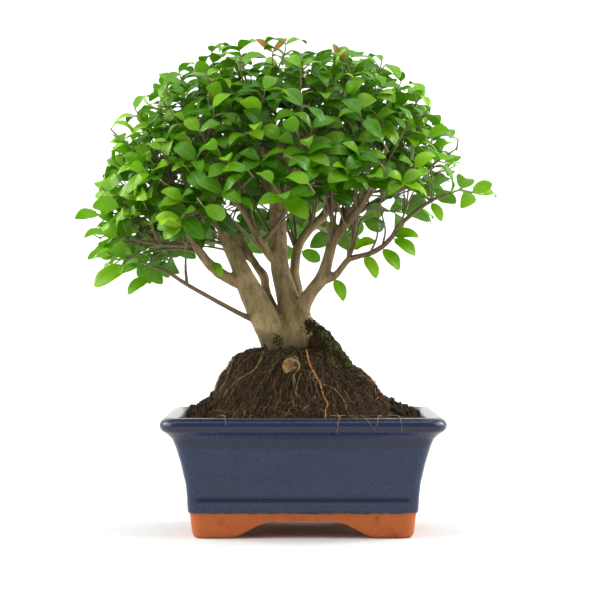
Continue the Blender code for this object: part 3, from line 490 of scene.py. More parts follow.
def glaze_material(looks):
    """Stoneware dipped in a blue glaze and wiped bare at the foot before firing.

    The glaze breaks brown where it runs thin on edges, and has a satin gloss with a fine mottle. Painted
    shade darkens its blue under the rim, on the lower half of the lip and along the groove. The bare clay is
    a matt orange terracotta with smears from handling.
    """
    made, add = new_material("blue_glazed_stoneware_bare_foot")
    place = add("TexCoord")["Object"]
    height = add("SeparateXYZ", {0: place})["Z"]
    mark = add("SeparateXYZ", {0: add("UVMap", uv_map="Glaze")[0]})
    cloud, mottle, grain, wave, smear = (
        add("TexNoise", {"Vector": place, "Scale": per_mm(size), "Detail": detail, "Roughness": rough})["Fac"]
        for size, detail, rough in ((28, 3, 0.5), (1.6, 2, 0.5), (0.5, 1, 0.5), (11, 2, 0.5), (14, 5, 0.65)))
    worn = add("Math", {0: mark["X"], 1: mottle}, operation="MULTIPLY")[0]
    line = add("Math", {0: wave, 1: 3.0 * MM, 2: height}, operation="MULTIPLY_ADD")[0]
    low, brown, full, blue = [(looks.glaze_line + rise) * MM for rise in (0.9, 1.2, 1.25, 2.6)]
    covered = add("MapRange", {"Value": line, "From Min": low, "From Max": full}, **SMOOTH)[0]
    glaze = layered(
        add, looks.glaze_dark,
        (mottle, (0.3, 0.7, 0, 1), looks.glaze),
        (cloud, (0.35, 0.7, 0, 0.35), looks.glaze_dark),
        # Painted shade: darker blue under the rim, on the lower half of the lip and along the groove
        (mark["Y"], WHOLE, looks.glaze_painted_shade),
        (worn, (0.1, 0.55, 0, 1), looks.glaze_thin, SMOOTH),
        (line, (brown, blue, 0.85, 0), looks.glaze_thin, SMOOTH))
    clay = layered(
        add, looks.clay,
        (smear, (0.5, 0.72, 0, 1), looks.clay_dark, SMOOTH),
        (grain, (0.4, 0.8, 0, 0.25), looks.clay_pale))
    glossy = surface(add, glaze, 0.22, ((0.25, 0.12, mottle),), {"IOR": 1.47})
    bare = surface(add, clay, 0.85, ((0.6, 0.15, grain),), {"IOR": 1.45})
    both = add("MixShader", {0: covered, 1: bare, 2: glossy})
    add("OutputMaterial", {"Surface": both[0]})
    return made


def peat_material(looks):
    """Damp peat potting mix, packed by roots and lifted: dark, matt, crumbly, with rust and straw flecks."""
    made, add = new_material("damp_peat_with_fine_roots")
    place = add("TexCoord")["Object"]
    clod, crumbs = (
        add("TexNoise", {"Vector": place, "Scale": per_mm(size), "Detail": detail, "Roughness": rough})["Fac"]
        for size, detail, rough in ((9, 5, 0.65), (1.3, 4, 0.7)))
    fleck = add("TexVoronoi", {"Vector": place, "Scale": per_mm(2.6)})["Distance"]
    colour = layered(
        add, looks.peat_dark,
        (crumbs, (0.36, 0.66, 0, 1), looks.peat),
        (clod, (0.5, 0.75, 0, 0.6), looks.peat_warm),
        (fleck, (0.1, 0.2, 0.35, 0), looks.fibre))
    shader = surface(add, colour, 0.95, ((0.9, 0.8, crumbs),), {"Specular IOR Level": 0.2})
    add("OutputMaterial", {"Surface": shader})
    return made


def root_material(name, colour, dusty):
    """Live or dry root skin: a matt tan or rust tube with soil dust along it."""
    made, add = new_material(name)
    place = add("TexCoord")["Object"]
    dust = add("TexNoise", {"Vector": place, "Scale": per_mm(4), "Detail": 4})["Fac"]
    colour = layered(add, colour, (dust, (0.4, 0.65, 0, 1), dusty))
    add("OutputMaterial", {"Surface": surface(add, colour, 0.75)})
    return made


def moss_material(looks):
    """Cushion moss on damp wood and peat: tiny matt leaves, olive where dry and green where wet."""
    made, add = new_material("cushion_moss")
    place = add("TexCoord")["Object"]
    patch = add("TexNoise", {"Vector": place, "Scale": per_mm(3), "Detail": 3})["Fac"]
    colour = layered(add, looks.moss_dry, (patch, WHOLE, looks.moss))
    add("OutputMaterial", {"Surface": surface(add, colour, 0.9)})
    return made


def bark_material(looks):
    """Sweet plum bark, grown: thin flaking plates, pale tan on a darker brown, with algae near the soil."""
    made, add = new_material("sweet_plum_bark")
    place = add("TexCoord")["Object"]
    mark = add("SeparateXYZ", {0: add("UVMap", uv_map="Marks")[0]})
    along = add("Mapping", {"Vector": place, "Scale": (1, 1, 0.3)})[0]
    plate, streak, patch = (
        add("TexNoise", {"Vector": where, "Scale": per_mm(size), "Detail": detail, "Roughness": rough})["Fac"]
        for where, size, detail, rough in ((along, 5, 5, 0.62), (along, 1.1, 3, 0.6), (place, 16, 2, 0.5)))
    green = add("Math", {0: mark["Y"], 1: patch}, operation="MULTIPLY")[0]
    colour = layered(
        add, looks.bark_dark,
        (plate, (0.35, 0.6, 0.4, 1), looks.bark, SMOOTH),
        (patch, (0.5, 0.7, 0, 0.6), looks.bark_pale, SMOOTH),
        (streak, (0.3, 0.45, 0.6, 0), looks.bark_dark),
        (green, (0.2, 0.55, 0, 0.8), looks.algae, SMOOTH),
        (mark["X"], WHOLE, looks.scar))
    shader = surface(add, colour, 0.8, ((0.7, 0.5, plate), (0.5, 0.2, streak)))
    add("OutputMaterial", {"Surface": shader})
    return made


def twig_material(looks):
    """Twigs of one to three years: thin brown bark that turns green towards the leaves, slightly waxy."""
    made, add = new_material("sweet_plum_twig")
    place = add("TexCoord")["Object"]
    mark = add("SeparateXYZ", {0: add("UVMap", uv_map="Marks")[0]})
    blotch = add("TexNoise", {"Vector": place, "Scale": per_mm(2.5), "Detail": 4})["Fac"]
    colour = layered(
        add, looks.bark_dark, (blotch, WHOLE, looks.twig), (mark["X"], WHOLE, looks.green_twig))
    add("OutputMaterial", {"Surface": surface(add, colour, 0.6, ((0.6, 0.2, blotch),))})
    return made


def cut_wood_material(looks):
    """Heartwood sawn across and weathered: ochre with darker growth rings and dirty stains."""
    made, add = new_material("sawn_heartwood")
    place = add("TexCoord")["Object"]
    centre = ORIGIN + Vector(LIMBS["cut_stub"][1][-1][:3]) * MM
    offset = add("VectorMath", {0: place, 1: centre}, operation="SUBTRACT")[0]
    # A wave repeats about every 20th of its scale's unit
    rings = add(
        "TexWave", {"Vector": offset, "Scale": per_mm(2.2) / 20, "Distortion": 5.0, "Detail": 2.0},
        wave_type="RINGS", rings_direction="SPHERICAL")["Fac"]
    stain = add("TexNoise", {"Vector": place, "Scale": per_mm(3), "Detail": 4})["Fac"]
    colour = layered(
        add, looks.cut_dark, (rings, WHOLE, looks.cut_pale), (stain, (0.45, 0.7, 0, 0.75), looks.scar))
    add("OutputMaterial", {"Surface": surface(add, colour, 0.85, ((0.6, 0.4, rings),))})
    return made


def leaf_material(looks, upper):
    """Sweet plum leaf, grown: a waxy glossy upper side that lets light through, and a paler matt underside.

    The map Leaf has the place on the leaf, across and along. The map Growth has the leaf's tone, from how
    young it is and from painted light and shade, and a number of its own for its tint.
    """
    made, add = new_material("sweet_plum_leaf_upper" if upper else "sweet_plum_leaf_underside")
    spot, youth_light_and_tint = (
        add("SeparateXYZ", {0: add("UVMap", uv_map=name)[0]}) for name in ("Leaf", "Growth"))
    young, own = youth_light_and_tint["X"], youth_light_and_tint["Y"]
    # Tone from dark inside the crown to bright outside and at its sides: partly the leaves' age, partly
    # painted shade and painted light
    colour = layered(
        add, looks.old_shaded_leaf,
        (young, (0, 0.5, 0, 1), looks.leaf),
        (young, (0.45, 0.85, 0, 1), looks.young_lit_leaf),
        (young, (0.95, 0.98, 0, 1), looks.newest_leaf))
    hue = add("MapRange", {"Value": own, "To Min": 0.488, "To Max": 0.508})[0]
    value = add("MapRange", {"Value": own, "To Min": 1.15, "To Max": 0.85})[0]
    colour = add("HueSaturation", {"Hue": hue, "Value": value, "Color": colour})[0]
    off_middle = add("Math", {0: spot["X"], 1: 0.5}, operation="SUBTRACT")[0]
    off_middle = add("Math", {0: off_middle}, operation="ABSOLUTE")[0]
    slant = add("Math", {0: off_middle, 1: -0.62, 2: spot["Y"]}, operation="MULTIPLY_ADD")[0]
    veins = add("Math", {0: slant, 1: 8.5}, operation="MULTIPLY")[0]
    veins = add("Math", {0: veins, 1: 0.5}, operation="PINGPONG")[0]
    vein = add("MapRange", {"Value": veins, "From Max": 0.1, "To Min": 1, "To Max": 0}, **SMOOTH)[0]
    midrib = add("MapRange", {
        "Value": off_middle, "From Min": 0.012, "From Max": 0.04, "To Min": 1, "To Max": 0}, **SMOOTH)[0]
    pale = add("Math", {0: vein, 1: 0.08}, operation="MULTIPLY")[0]
    pale = add("Math", {0: midrib, 1: 0.4, 2: pale}, operation="MULTIPLY_ADD", use_clamp=True)[0]
    relief = add("Math", {0: midrib, 1: 2.0, 2: vein}, operation="MULTIPLY_ADD")[0]
    bump = add("Bump", {"Strength": 0.5, "Distance": 0.12 * MM, "Height": relief}, invert=upper)[0]
    colour = layered(add, colour, (pale, WHOLE, looks.vein))
    if not upper:
        colour = layered(add, colour, (0.4, WHOLE, looks.underside))
    shader = surface(add, colour, looks.gloss if upper else 0.6, (), {"IOR": 1.42, "Normal": bump})
    through = layered(add, colour, (0.55, WHOLE, looks.light_through))
    glow = add("BsdfTranslucent", {"Color": through})[0]
    both = add("MixShader", {0: looks.translucency, 1: shader, 2: glow})
    add("OutputMaterial", {"Surface": both[0]})
    return made


def netting_material():
    """Moulded polyethylene drain mesh: black, slightly waxy, with peat dust."""
    made, add = new_material("moulded_polyethylene_mesh")
    place = add("TexCoord")["Object"]
    dust = add("TexNoise", {"Vector": place, "Scale": per_mm(3), "Detail": 3})["Fac"]
    colour = layered(add, linear("#161616"), (dust, WHOLE, linear("#33291F")))
    add("OutputMaterial", {"Surface": surface(add, colour, 0.5)})
    return made


def paper_material(looks):
    """Seamless background paper: matt, white, with the faintest tooth."""
    made, add = new_material("seamless_background_paper")
    place = add("TexCoord")["Object"]
    tooth = add("TexNoise", {"Vector": place, "Scale": per_mm(2)})["Fac"]
    shader = surface(add, looks.floor, 0.95, ((0.05, 0.05, tooth),), {"Specular IOR Level": 0.0})
    add("OutputMaterial", {"Surface": shader})
    return made


# Pot


def outline(inset, height):
    """Points of the pot's outline at one inset from the rim, with the way out at each."""
    radius = RIM_CORNER - CORNER_PER_INSET * inset
    half = (RIM_WIDTH / 2 - inset - radius, RIM_DEPTH / 2 - inset - radius)
    points = []
    for quarter, (sx, sy) in enumerate(((1, 1), (-1, 1), (-1, -1), (1, -1))):
        for step in range(CORNER_STEPS + 1):
            angle = (quarter + step / CORNER_STEPS) * math.pi / 2
            way = Vector((math.cos(angle), math.sin(angle), 0))
            points.append((Vector((sx * half[0], sy * half[1], height)) + way * radius, way))
        start, way = points[-1]
        if quarter % 2 == 0:
            count, run = round((RIM_WIDTH - 2 * RIM_CORNER) / OUTLINE_STEP), Vector((-2 * half[0] * sx, 0, 0))
        else:
            count, run = round((RIM_DEPTH - 2 * RIM_CORNER) / OUTLINE_STEP), Vector((0, -2 * half[1] * sy, 0))
        points += [(start + run * (k / count), way) for k in range(1, count)]
    return points


def rounded_profile(rows):
    """The wall's profile with its corners rounded and its long runs divided."""
    rows = [Vector((inset, height)) for height, inset in rows]
    made = [rows[0]]
    for before, corner, after in zip(rows, rows[1:], rows[2:]):
        into, out = before - corner, after - corner
        reach = min(PROFILE_ROUNDING, into.length / 2, out.length / 2)
        a, b = corner + into.normalized() * reach, corner + out.normalized() * reach
        made += [(1 - t) ** 2 * a + 2 * t * (1 - t) * corner + t * t * b for t in (0, 0.33, 0.67, 1)]
    made.append(rows[-1])
    fine = [made[0]]
    for a, b in zip(made, made[1:]):
        count = max(1, math.ceil((b - a).length / PROFILE_STEP))
        if (b - a).length > 1e-6:
            fine += [a.lerp(b, k / count) for k in range(1, count + 1)]
    return fine


def panel_depth(spot, way, depth):
    """How far the face of the wall is set back in its panel."""
    low = ease(spot.z, PANEL_LOW - PANEL_EDGE, PANEL_LOW)
    high = ease(-spot.z, -PANEL_HIGH - PANEL_EDGE, -PANEL_HIGH)
    on_front = abs(way.y) > abs(way.x)
    at, half = (spot.x, PANEL_HALF_WIDTH) if on_front else (spot.y, PANEL_HALF_DEPTH)
    return depth * low * high * ease(-abs(at), -half - PANEL_EDGE / 2, -half + PANEL_EDGE / 2)


def arch_shape(widths, span, turn):
    """A solid that cuts the arch between two feet: its outline run through the pot."""
    low, high = widths
    flank = [(low, -5.0)]
    for step in range(ARCH_STEPS + 1):
        t = step / ARCH_STEPS
        flank.append((low + (high - low) * t, ARCH_HEIGHT * (0.5 - 0.5 * math.cos(math.pi * t))))
    points = [(-x, z) for x, z in flank] + flank[::-1]
    rows = [[Vector((x, y, z)) for x, z in points] for y in (-span / 2, span / 2)]
    corners = [Matrix.Rotation(turn, 3, "Z") @ p for row in rows for p in row]
    return corners, lattice(2, len(points))


def drain_shape(hand):
    """A solid that cuts one of the drain holes."""
    heights = (-POT_FLOOR / 2, POT_FLOOR * 1.5)
    return tube([(Vector((hand * DRAIN_OFFSET, 0, z)), DRAIN_RADIUS) for z in heights], 32)


def cut_away(mesh, shapes):
    """The mesh less these solids."""
    body = bpy.data.objects.new("body", mesh)
    bpy.context.scene.collection.objects.link(body)
    cutters = bpy.data.collections.new("cutters")
    for shape in shapes:
        cutters.objects.link(bpy.data.objects.new("cutter", faced_out(Shape(shape).mesh("cutter"))))
    bpy.context.scene.collection.children.link(cutters)
    step = body.modifiers.new("cut", "BOOLEAN")
    step.operation, step.solver, step.operand_type = "DIFFERENCE", "EXACT", "COLLECTION"
    step.collection = cutters
    made = evaluated_mesh(body)
    for leftover in [*cutters.objects, body]:
        bpy.data.objects.remove(leftover)
    bpy.data.collections.remove(cutters)
    return made


def evaluated_mesh(thing):
    """The mesh of an object with its modifiers applied."""
    bpy.context.view_layer.update()
    graph = bpy.context.evaluated_depsgraph_get()
    return bpy.data.meshes.new_from_object(thing.evaluated_get(graph))


def glaze_marks(spot):
    """At a place on the pot: how thin the glaze is, and how much painted shade darkens it."""
    edge = ease(spot.z, POT_HEIGHT - 1.6, POT_HEIGHT - 0.4)
    radius = RIM_CORNER - CORNER_PER_INSET * 10
    beyond = min(abs(spot.x) - (RIM_WIDTH / 2 - 19 - radius), abs(spot.y) - (RIM_DEPTH / 2 - 19 - radius))
    corner = 0.3 * ease(beyond, 5.0, 10.0) * ease(spot.z, 20, 26)
    # Bands of painted shade: under the rim, on the lower half of the lip, and along the groove
    under_rim = ease(spot.z, 64.5, 68.5) * ease(-spot.z, -74, -70.5)
    nose = ease(spot.z, 76, 78.5) * ease(-spot.z, -83.5, -81.5)
    groove = ease(spot.z, PANEL_LOW - 4.5, PANEL_LOW - 1.5) * ease(-spot.z, -PANEL_LOW - 2.5, -PANEL_LOW)
    return max(edge, corner), max(0.75 * under_rim, 0.7 * nose, 0.6 * groove)


def build_pot(looks):
    """The pot: its wall, panels, arches and drain holes, with its glaze."""
    profile = rounded_profile(POT_WALL)
    corners = []
    for inset, height in profile:
        is_outer = inset < OUTER_INSET and height < OUTER_TOP
        for spot, way in outline(inset, height):
            back = panel_depth(spot, way, looks.panel_depth) if is_outer else 0.0
            corners.append(spot - way * back)
    mesh = faced_out(Shape((corners, lattice(len(profile), len(corners) // len(profile)))).mesh("pot"))
    arches = (arch_shape(FRONT_ARCH, RIM_DEPTH, 0), arch_shape(SIDE_ARCH, RIM_WIDTH, math.pi / 2))
    mesh = cut_away(mesh, (*arches, drain_shape(-1), drain_shape(1)))
    set_map(mesh, "Glaze", [glaze_marks((v.co - ORIGIN) / MM) for v in mesh.vertices])
    put("pot_glazed", mesh, [glaze_material(looks)], ["pot"])
    mesh.set_sharp_from_angle(angle=math.radians(38))


# Root ball


def pot_reach(angle, inset):
    """How far the pot's outline at an inset is from its middle, at an angle."""
    radius = RIM_CORNER - CORNER_PER_INSET * inset
    core_x, core_y = RIM_WIDTH / 2 - inset - radius, RIM_DEPTH / 2 - inset - radius
    near, far = 0.0, RIM_WIDTH
    for _ in range(30):
        middle = (near + far) / 2
        x = max(abs(middle * math.cos(angle)) - core_x, 0)
        y = max(abs(middle * math.sin(angle)) - core_y, 0)
        near, far = (middle, far) if math.hypot(x, y) < radius else (near, middle)
    return near


def mound_reach(angle, level):
    """How far the mound reaches at an angle, at one of its levels."""
    _, left, right, front, back = level
    x = math.cos(angle) / (right if math.cos(angle) > 0 else left)
    y = math.sin(angle) / (back if math.sin(angle) > 0 else front)
    return 1 / math.hypot(x, y)


def mound_point(angle, level, limit, calm):
    """A place on the mound, lumpy as in the part. The last level isn't lifted."""
    reach = mound_reach(angle, level)
    spot = round_about(reach, angle, level[0])
    lump = SOIL_LUMP * noise.noise(spot / SOIL_LUMP_SIZE) + SOIL_CRUMB * noise.noise(spot / SOIL_CRUMB_SIZE)
    reach = min(reach * (1 + 1.3 * lump / max(reach, 30)), limit)
    return round_about(reach, angle, level[0] + 0.7 * lump * calm)


def crumbled(spot, amount):
    """A place on the soil moved by its crumbs."""
    way = Vector((spot.x, spot.y, 40)).normalized()
    rough = 1.5 * noise.noise(spot / 5.0) + 1.0 * noise.noise(spot / 2.3) + 0.55 * noise.noise(spot / 1.2)
    return spot + way * rough * amount


def soil_rows(sides):
    """Rows of places on the soil, from its floor to the mound's top."""
    turns = [k * 2 * math.pi / sides for k in range(sides)]
    rows = []
    for height, inset in SOIL_IN_POT:
        reaches = [pot_reach(a, inset + SOIL_GAP) for a in turns]
        rows.append([round_about(r, a, height) for a, r in zip(turns, reaches)])
    rims = [(a, pot_reach(a, SOIL_INSET)) for a in turns]
    brim = rows[-1]
    first = [mound_point(a, MOUND[0], limit, 1.0) for a, limit in rims]
    for step in range(1, BRIM_STEPS):
        t = step / BRIM_STEPS
        rows.append([
            crumbled(a.lerp(b, t), 0.7 * t) + UP * 1.5 * t * (1 - t) for a, b in zip(brim, first)])
    for k, count in enumerate(MOUND_STEPS):
        for step in range(count):
            t = step / count
            level = tuple(a + (b - a) * t for a, b in zip(MOUND[k], MOUND[k + 1]))
            calm = 1.0 if k < len(MOUND_STEPS) - 1 else 1 - t
            rows.append([crumbled(mound_point(a, level, limit, calm), 1.0) for a, limit in rims])
    top = [mound_point(a, MOUND[-1], limit, 0.0) for a, limit in rims]
    rows.append(top)
    middle = sum(top, Vector()) / len(top)
    for share in (0.7, 0.4, 0.15):
        rows.append([crumbled(middle.lerp(p, share), 0.5) for p in top])
    return rows


class Ground:
    """The soil's surface, to lay roots and crumbs on."""

    def __init__(self, corners, faces):
        self.tree = BVHTree.FromPolygons(corners, faces)

    def above(self, x, y):
        """The place of the soil under (x, y) and the way out of it, or None."""
        spot, way, _, _ = self.tree.ray_cast(Vector((x, y, 300)), -UP)
        return (spot, way) if spot else None

    def front(self, x, z):
        """The place of the soil behind (x, z) as seen from the front."""
        spot, way, _, _ = self.tree.ray_cast(Vector((x, -150, z)), Vector((0, 1, 0)))
        return (spot, way) if spot else None


@functools.cache
def soil_shape():
    """Corners and faces of the soil."""
    rows = soil_rows(SOIL_SIDES)
    return [p for row in rows for p in row], lattice(len(rows), SOIL_SIDES)


@functools.cache
def ground():
    """The soil's surface, made once."""
    return Ground(*soil_shape())


def crumb(rng, size):
    """A small irregular lump of peat about the origin."""
    bm = bmesh.new()
    bmesh.ops.create_icosphere(bm, subdivisions=1, radius=size / 2)
    squash = Vector([rng.uniform(0.6, 1.25) for _ in range(3)])
    turn = Matrix.Rotation(rng.uniform(0, math.tau), 3, random_vector(rng).normalized())
    corners = [turn @ (v.co * squash * rng.uniform(0.75, 1.2)) for v in bm.verts]
    faces = [tuple(v.index for v in f.verts) for f in bm.faces]
    bm.free()
    return corners, faces


def build_root_ball(looks):
    """The peat, the crumbs that lie on it, and the clods at both ends of the pot."""
    peat = peat_material(looks)
    mesh = Shape(soil_shape()).mesh("root_ball_peat")
    put("root_ball_peat", mesh, [peat], ["root_ball"])
    rng = random.Random(CRUMB_SEED)
    crumbs = Shape()
    for _ in range(looks.crumbs):
        x = rng.uniform(-1, 1) * (RIM_WIDTH / 2 - SOIL_INSET - 2)
        y = rng.uniform(-1, 1) * (RIM_DEPTH / 2 - SOIL_INSET - 2)
        found = ground().above(x, y)
        if found and found[0].z >= CRUMB_LOWEST:
            corners, faces = crumb(rng, rng.uniform(*CRUMB_SIZES))
            crumbs.add([found[0] + c for c in corners], faces)
    for _ in range(looks.clods):
        x = rng.choice((-1, 1)) * rng.uniform(*CLOD_PLACES)
        y = rng.uniform(-0.75, 0.85) * (RIM_DEPTH / 2 - SOIL_INSET)
        found = ground().above(x, y)
        if found:
            corners, faces = crumb(rng, rng.uniform(*CLOD_SIZES))
            crumbs.add([found[0] + UP * rng.uniform(0, CLOD_RISE) + c for c in corners], faces)
    put("peat_crumbs", crumbs.mesh("peat_crumbs"), [peat])


# Roots, fibres and moss


def fibre(rng, start, heading, steps, step, lift):
    """A fine root that wanders over the soil from a start."""
    points = []
    x, y = start
    angle = heading
    for _ in range(steps):
        found = ground().above(x, y)
        if not found or abs(x) > RIM_WIDTH / 2 - SOIL_INSET or abs(y) > RIM_DEPTH / 2 - SOIL_INSET:
            break
        spot, way = found
        points.append(spot + way * rng.uniform(0.0, lift))
        angle += rng.uniform(-0.7, 0.7)
        x += math.cos(angle) * step
        y += math.sin(angle) * step
    return points


def strand(points, radius, sides):
    """A tube along a strand that thins to its end."""
    last = len(points) - 1
    return tube([(p, radius * (1 - 0.6 * k / last)) for k, p in enumerate(points)], sides)


def surface_root(rng, angle):
    """A root that runs from the foot of the trunk down the mound."""
    points = []
    reach = rng.uniform(0.45, 0.6)
    for _ in range(13):
        level = mound_reach(angle, MOUND[0]) * reach
        found = ground().above(level * math.cos(angle), level * math.sin(angle))
        if not found or reach > 1.0:
            break
        points.append(found[0] + found[1] * rng.uniform(-0.4, 0.5))
        angle += rng.uniform(-0.09, 0.09)
        reach += 0.045
    return points


def foot_front():
    """The foot of the trunk and the soil as seen from the front."""
    names = ("left_trunk", "middle_trunk", "right_trunk", "right_buttress", "cut_stub")
    wood = [tube(smooth(points, steps * 2), 20) for steps, points in map(LIMBS.get, names)]
    shape = Shape(soil_shape(), *wood, peat_mantle())
    return Ground(shape.corners, shape.faces)


def clinging(rng, surface, patches, sizes):
    """Small lumps pressed on the foot of the trunk in patches."""
    shape = Shape()
    for (x, z), (wide, tall), count in patches:
        for _ in range(count):
            found = surface.front(rng.gauss(x, wide), rng.gauss(z, tall))
            if found:
                corners, faces = crumb(rng, rng.uniform(*sizes))
                shape.add([found[0] + c for c in corners], faces)
    return shape


def peat_mantle():
    """Peat and fine roots that wrap the right buttress down to the soil."""
    sides, steps = 48, 60
    start, full = MANTLE
    stations = [
        (place, radius + start + (full - start) * ease(k / steps, 0.0, 0.2))
        for k, (place, radius) in enumerate(smooth(LIMBS["right_buttress"][1], steps))]
    corners, faces = tube(stations, sides)
    return [crumbled(c, 0.8 * ease(k / len(corners), 0.0, 0.2)) for k, c in enumerate(corners)], faces


def rim_root(rng, x, lean, low):
    """A root that comes out of the soil, lies over the front of the rim and hangs down it."""
    edge = -RIM_DEPTH / 2
    points = (
        (0.0, edge + 20, POT_HEIGHT + 1), (0.25, edge + 10, POT_HEIGHT + 1.3),
        (0.5, edge + 3, POT_HEIGHT + 0.6), (0.7, edge - 0.4, 83.0), (1.0, edge - 0.6, low))
    return [Vector((x + lean * t + rng.uniform(-2.4, 2.4) * (1.25 - t), y, z)) for t, y, z in points]


def build_roots(looks):
    """The roots and fibres on the peat, and the moss and peat that cling to the foot of the trunk."""
    rng = random.Random(ROOT_SEED)
    shapes = {kind: Shape() for kind in ("orange", "olive", "tan", "dark")}
    for places, radius, kind in FRONT_ROOTS:
        path = smooth([(x, 0, z, radius) for x, z in places], FRONT_STEPS)
        stations = []
        for k, (place, _) in enumerate(path):
            found = ground().front(place.x, place.z)
            if found:
                wander = 0.35 * noise.noise(Vector((k * 0.45, radius * 9, 0)))
                spot = found[0] + found[1] * (0.35 * radius + wander)
                thins = 1 - 0.45 * k / FRONT_STEPS
                stations.append((spot, radius * thins * (1 + 0.18 * noise.noise(spot / 2))))
        shapes[kind].add(*tube(stations, 10))
    for _ in range(looks.surface_roots):
        points = surface_root(rng, rng.uniform(0, math.tau))
        if len(points) > 4:
            kind = rng.choice(("olive", "tan", "dark", "dark", "dark", "dark"))
            shapes[kind].add(*strand(points, rng.uniform(*ROOT_RADII), 7))
    for _ in range(looks.fibres):
        angle = rng.uniform(0, math.tau)
        reach = mound_reach(angle, MOUND[0]) * math.sqrt(rng.uniform(0.08, 1.0))
        start = (reach * math.cos(angle), reach * math.sin(angle))
        heading = angle + rng.gauss(0, 0.8)
        points = fibre(rng, start, heading, rng.randint(4, 10), rng.uniform(1.6, 3.0), rng.uniform(0.3, 2.4))
        if len(points) > 3:
            kind = rng.choices(("orange", "tan", "dark", "olive"), (1, 5, 20, 2))[0]
            shapes[kind].add(*strand(points, rng.uniform(*FIBRE_RADII), 4))
    for x, lean, low in RIM_ROOTS:
        points = [(*p, 1.0) for p in rim_root(rng, x, lean, low)]
        points = [place for place, _ in smooth(points, 12)]
        shapes[rng.choice(("tan", "dark"))].add(*strand(points, rng.uniform(*RIM_RADII), 5))
    finishes = {
        "orange": root_material("young_root_skin_rust", looks.root_orange, looks.root_pale),
        "olive": root_material("old_root_skin_olive", looks.root_olive, looks.peat_warm),
        "tan": root_material("dry_root_fibre_straw", looks.fibre, looks.peat_warm),
        "dark": root_material("dry_root_fibre_brown", looks.peat_warm, looks.peat),
    }
    for kind, shape in shapes.items():
        put(f"roots_{kind}", shape.mesh(f"roots_{kind}"), [finishes[kind]])
    surface = foot_front()
    moss = clinging(rng, surface, MOSS_PATCHES, MOSS_SIZES)
    put("moss", moss.mesh("moss"), [moss_material(looks)])
    dirt = clinging(rng, surface, DIRT_PATCHES, DIRT_SIZES)
    dirt.add(*peat_mantle())
    put("clinging_peat", dirt.mesh("clinging_peat"), [peat_material(looks)])


# Growth


def smooth(points, steps):
    """Stations (place, radius) on a smooth curve through the points (x, y, z, radius)."""
    rows = [Vector(p) for p in points]
    rows = [2 * rows[0] - rows[1], *rows, 2 * rows[-1] - rows[-2]]
    spans = len(rows) - 3
    made = []
    for step in range(steps + 1):
        at = step / steps * spans
        k = min(int(at), spans - 1)
        t = at - k
        a, b, c, d = rows[k:k + 4]
        bend, turn = 2 * a - 5 * b + 4 * c - d, 3 * b - a - 3 * c + d
        row = 0.5 * (2 * b + (c - a) * t + bend * t ** 2 + turn * t ** 3)
        made.append((Vector(row[:3]), row[3]))
    return made


def square_axes(direction, normal):
    """Two unit vectors across a direction: the side, and the normal made square to it."""
    side = direction.cross(normal).normalized()
    return side, side.cross(direction).normalized()


def prism(stations, swell=0.0):
    """Corners and faces of a square tube along the stations, to test what it would touch."""
    corners = []
    for k, (place, radius) in enumerate(stations):
        before = stations[max(k - 1, 0)][0]
        after = stations[min(k + 1, len(stations) - 1)][0]
        along = (after - before).normalized()
        side, normal = square_axes(along, UP if abs(along.z) < 0.9 else Vector((0, 1, 0)))
        reach = (radius + swell) * math.sqrt(2)
        corners += [place + reach * v for v in (side, normal, -side, -normal)]
    sides = lattice(len(stations), 4)
    return corners, [*sides[:-2], (0, 1, 2, 3), sides[-1]]


def ball(corners):
    """The middle of some corners, and how far the furthest of them is from it."""
    centre = sum(corners, Vector()) / len(corners)
    return centre, max((c - centre).length for c in corners)


class Grown:
    """What has grown so far, held in a grid of cells, to keep new shoots and leaves clear of it."""

    def __init__(self):
        self.cells = {}
        self.count = 0

    def cells_of(self, centre, reach):
        """The cells that a ball touches."""
        spans = [range(math.floor((c - reach) / CELL), math.floor((c + reach) / CELL) + 1) for c in centre]
        return itertools.product(*spans)

    def add(self, shape, owner):
        """Adds a shape that belongs to an owner."""
        centre, reach = ball(shape[0])
        piece = (self.count, centre, reach, BVHTree.FromPolygons(*shape), owner)
        self.count += 1
        for cell in self.cells_of(centre, reach):
            self.cells.setdefault(cell, []).append(piece)

    def is_clear(self, shape, ignore=()):
        """Whether a shape touches nothing that has grown but what the ignored owners have."""
        centre, reach = ball(shape[0])
        tree = None
        met = set()
        for cell in self.cells_of(centre, reach):
            for number, other, other_reach, other_tree, owner in self.cells.get(cell, ()):
                if number in met:
                    continue
                met.add(number)
                if owner in ignore or (other - centre).length > reach + other_reach:
                    continue
                tree = tree or BVHTree.FromPolygons(*shape)
                if tree.overlap(other_tree):
                    return False
        return True


def crown_anchors(count=SHOOTS, share=SHOOT_START, seed=SEED, turn=0.0, raised=0.0):
    """Starts and directions of shoots spread evenly inside the crown."""
    anchors = []
    golden = math.pi * (3 - math.sqrt(5))
    rng = random.Random(seed)
    for k in range(count):
        height = 0.97 - (0.97 - LOWEST_SIDE) * (k + 0.5) / count
        around = k * golden + rng.uniform(-0.12, 0.12) + turn
        flat = math.sqrt(1 - height ** 2)
        outward = Vector((flat * math.cos(around), flat * math.sin(around), height))
        lowest = LOWEST_SIDE
        lowest += (LOWEST_RIGHT - LOWEST_SIDE) * max(0, outward.x) ** 2
        lowest += (LOWEST_FRONT - LOWEST_SIDE) * max(0, -outward.y) ** 2
        lowest += (LOWEST_BACK - LOWEST_SIDE) * max(0, outward.y) ** 2
        if height < lowest + raised * max(0, outward.x):
            continue
        radius = outward * CROWN_RADII
        start = share + rng.uniform(-0.05, 0.05)
        direction = Vector(o / r for o, r in zip(outward, CROWN_RADII)).normalized()
        length = radius.length * (1 - start) - TIP_LEAF_ROOM
        anchors.append((CROWN_CENTRE + radius * start, direction, length))
    return anchors


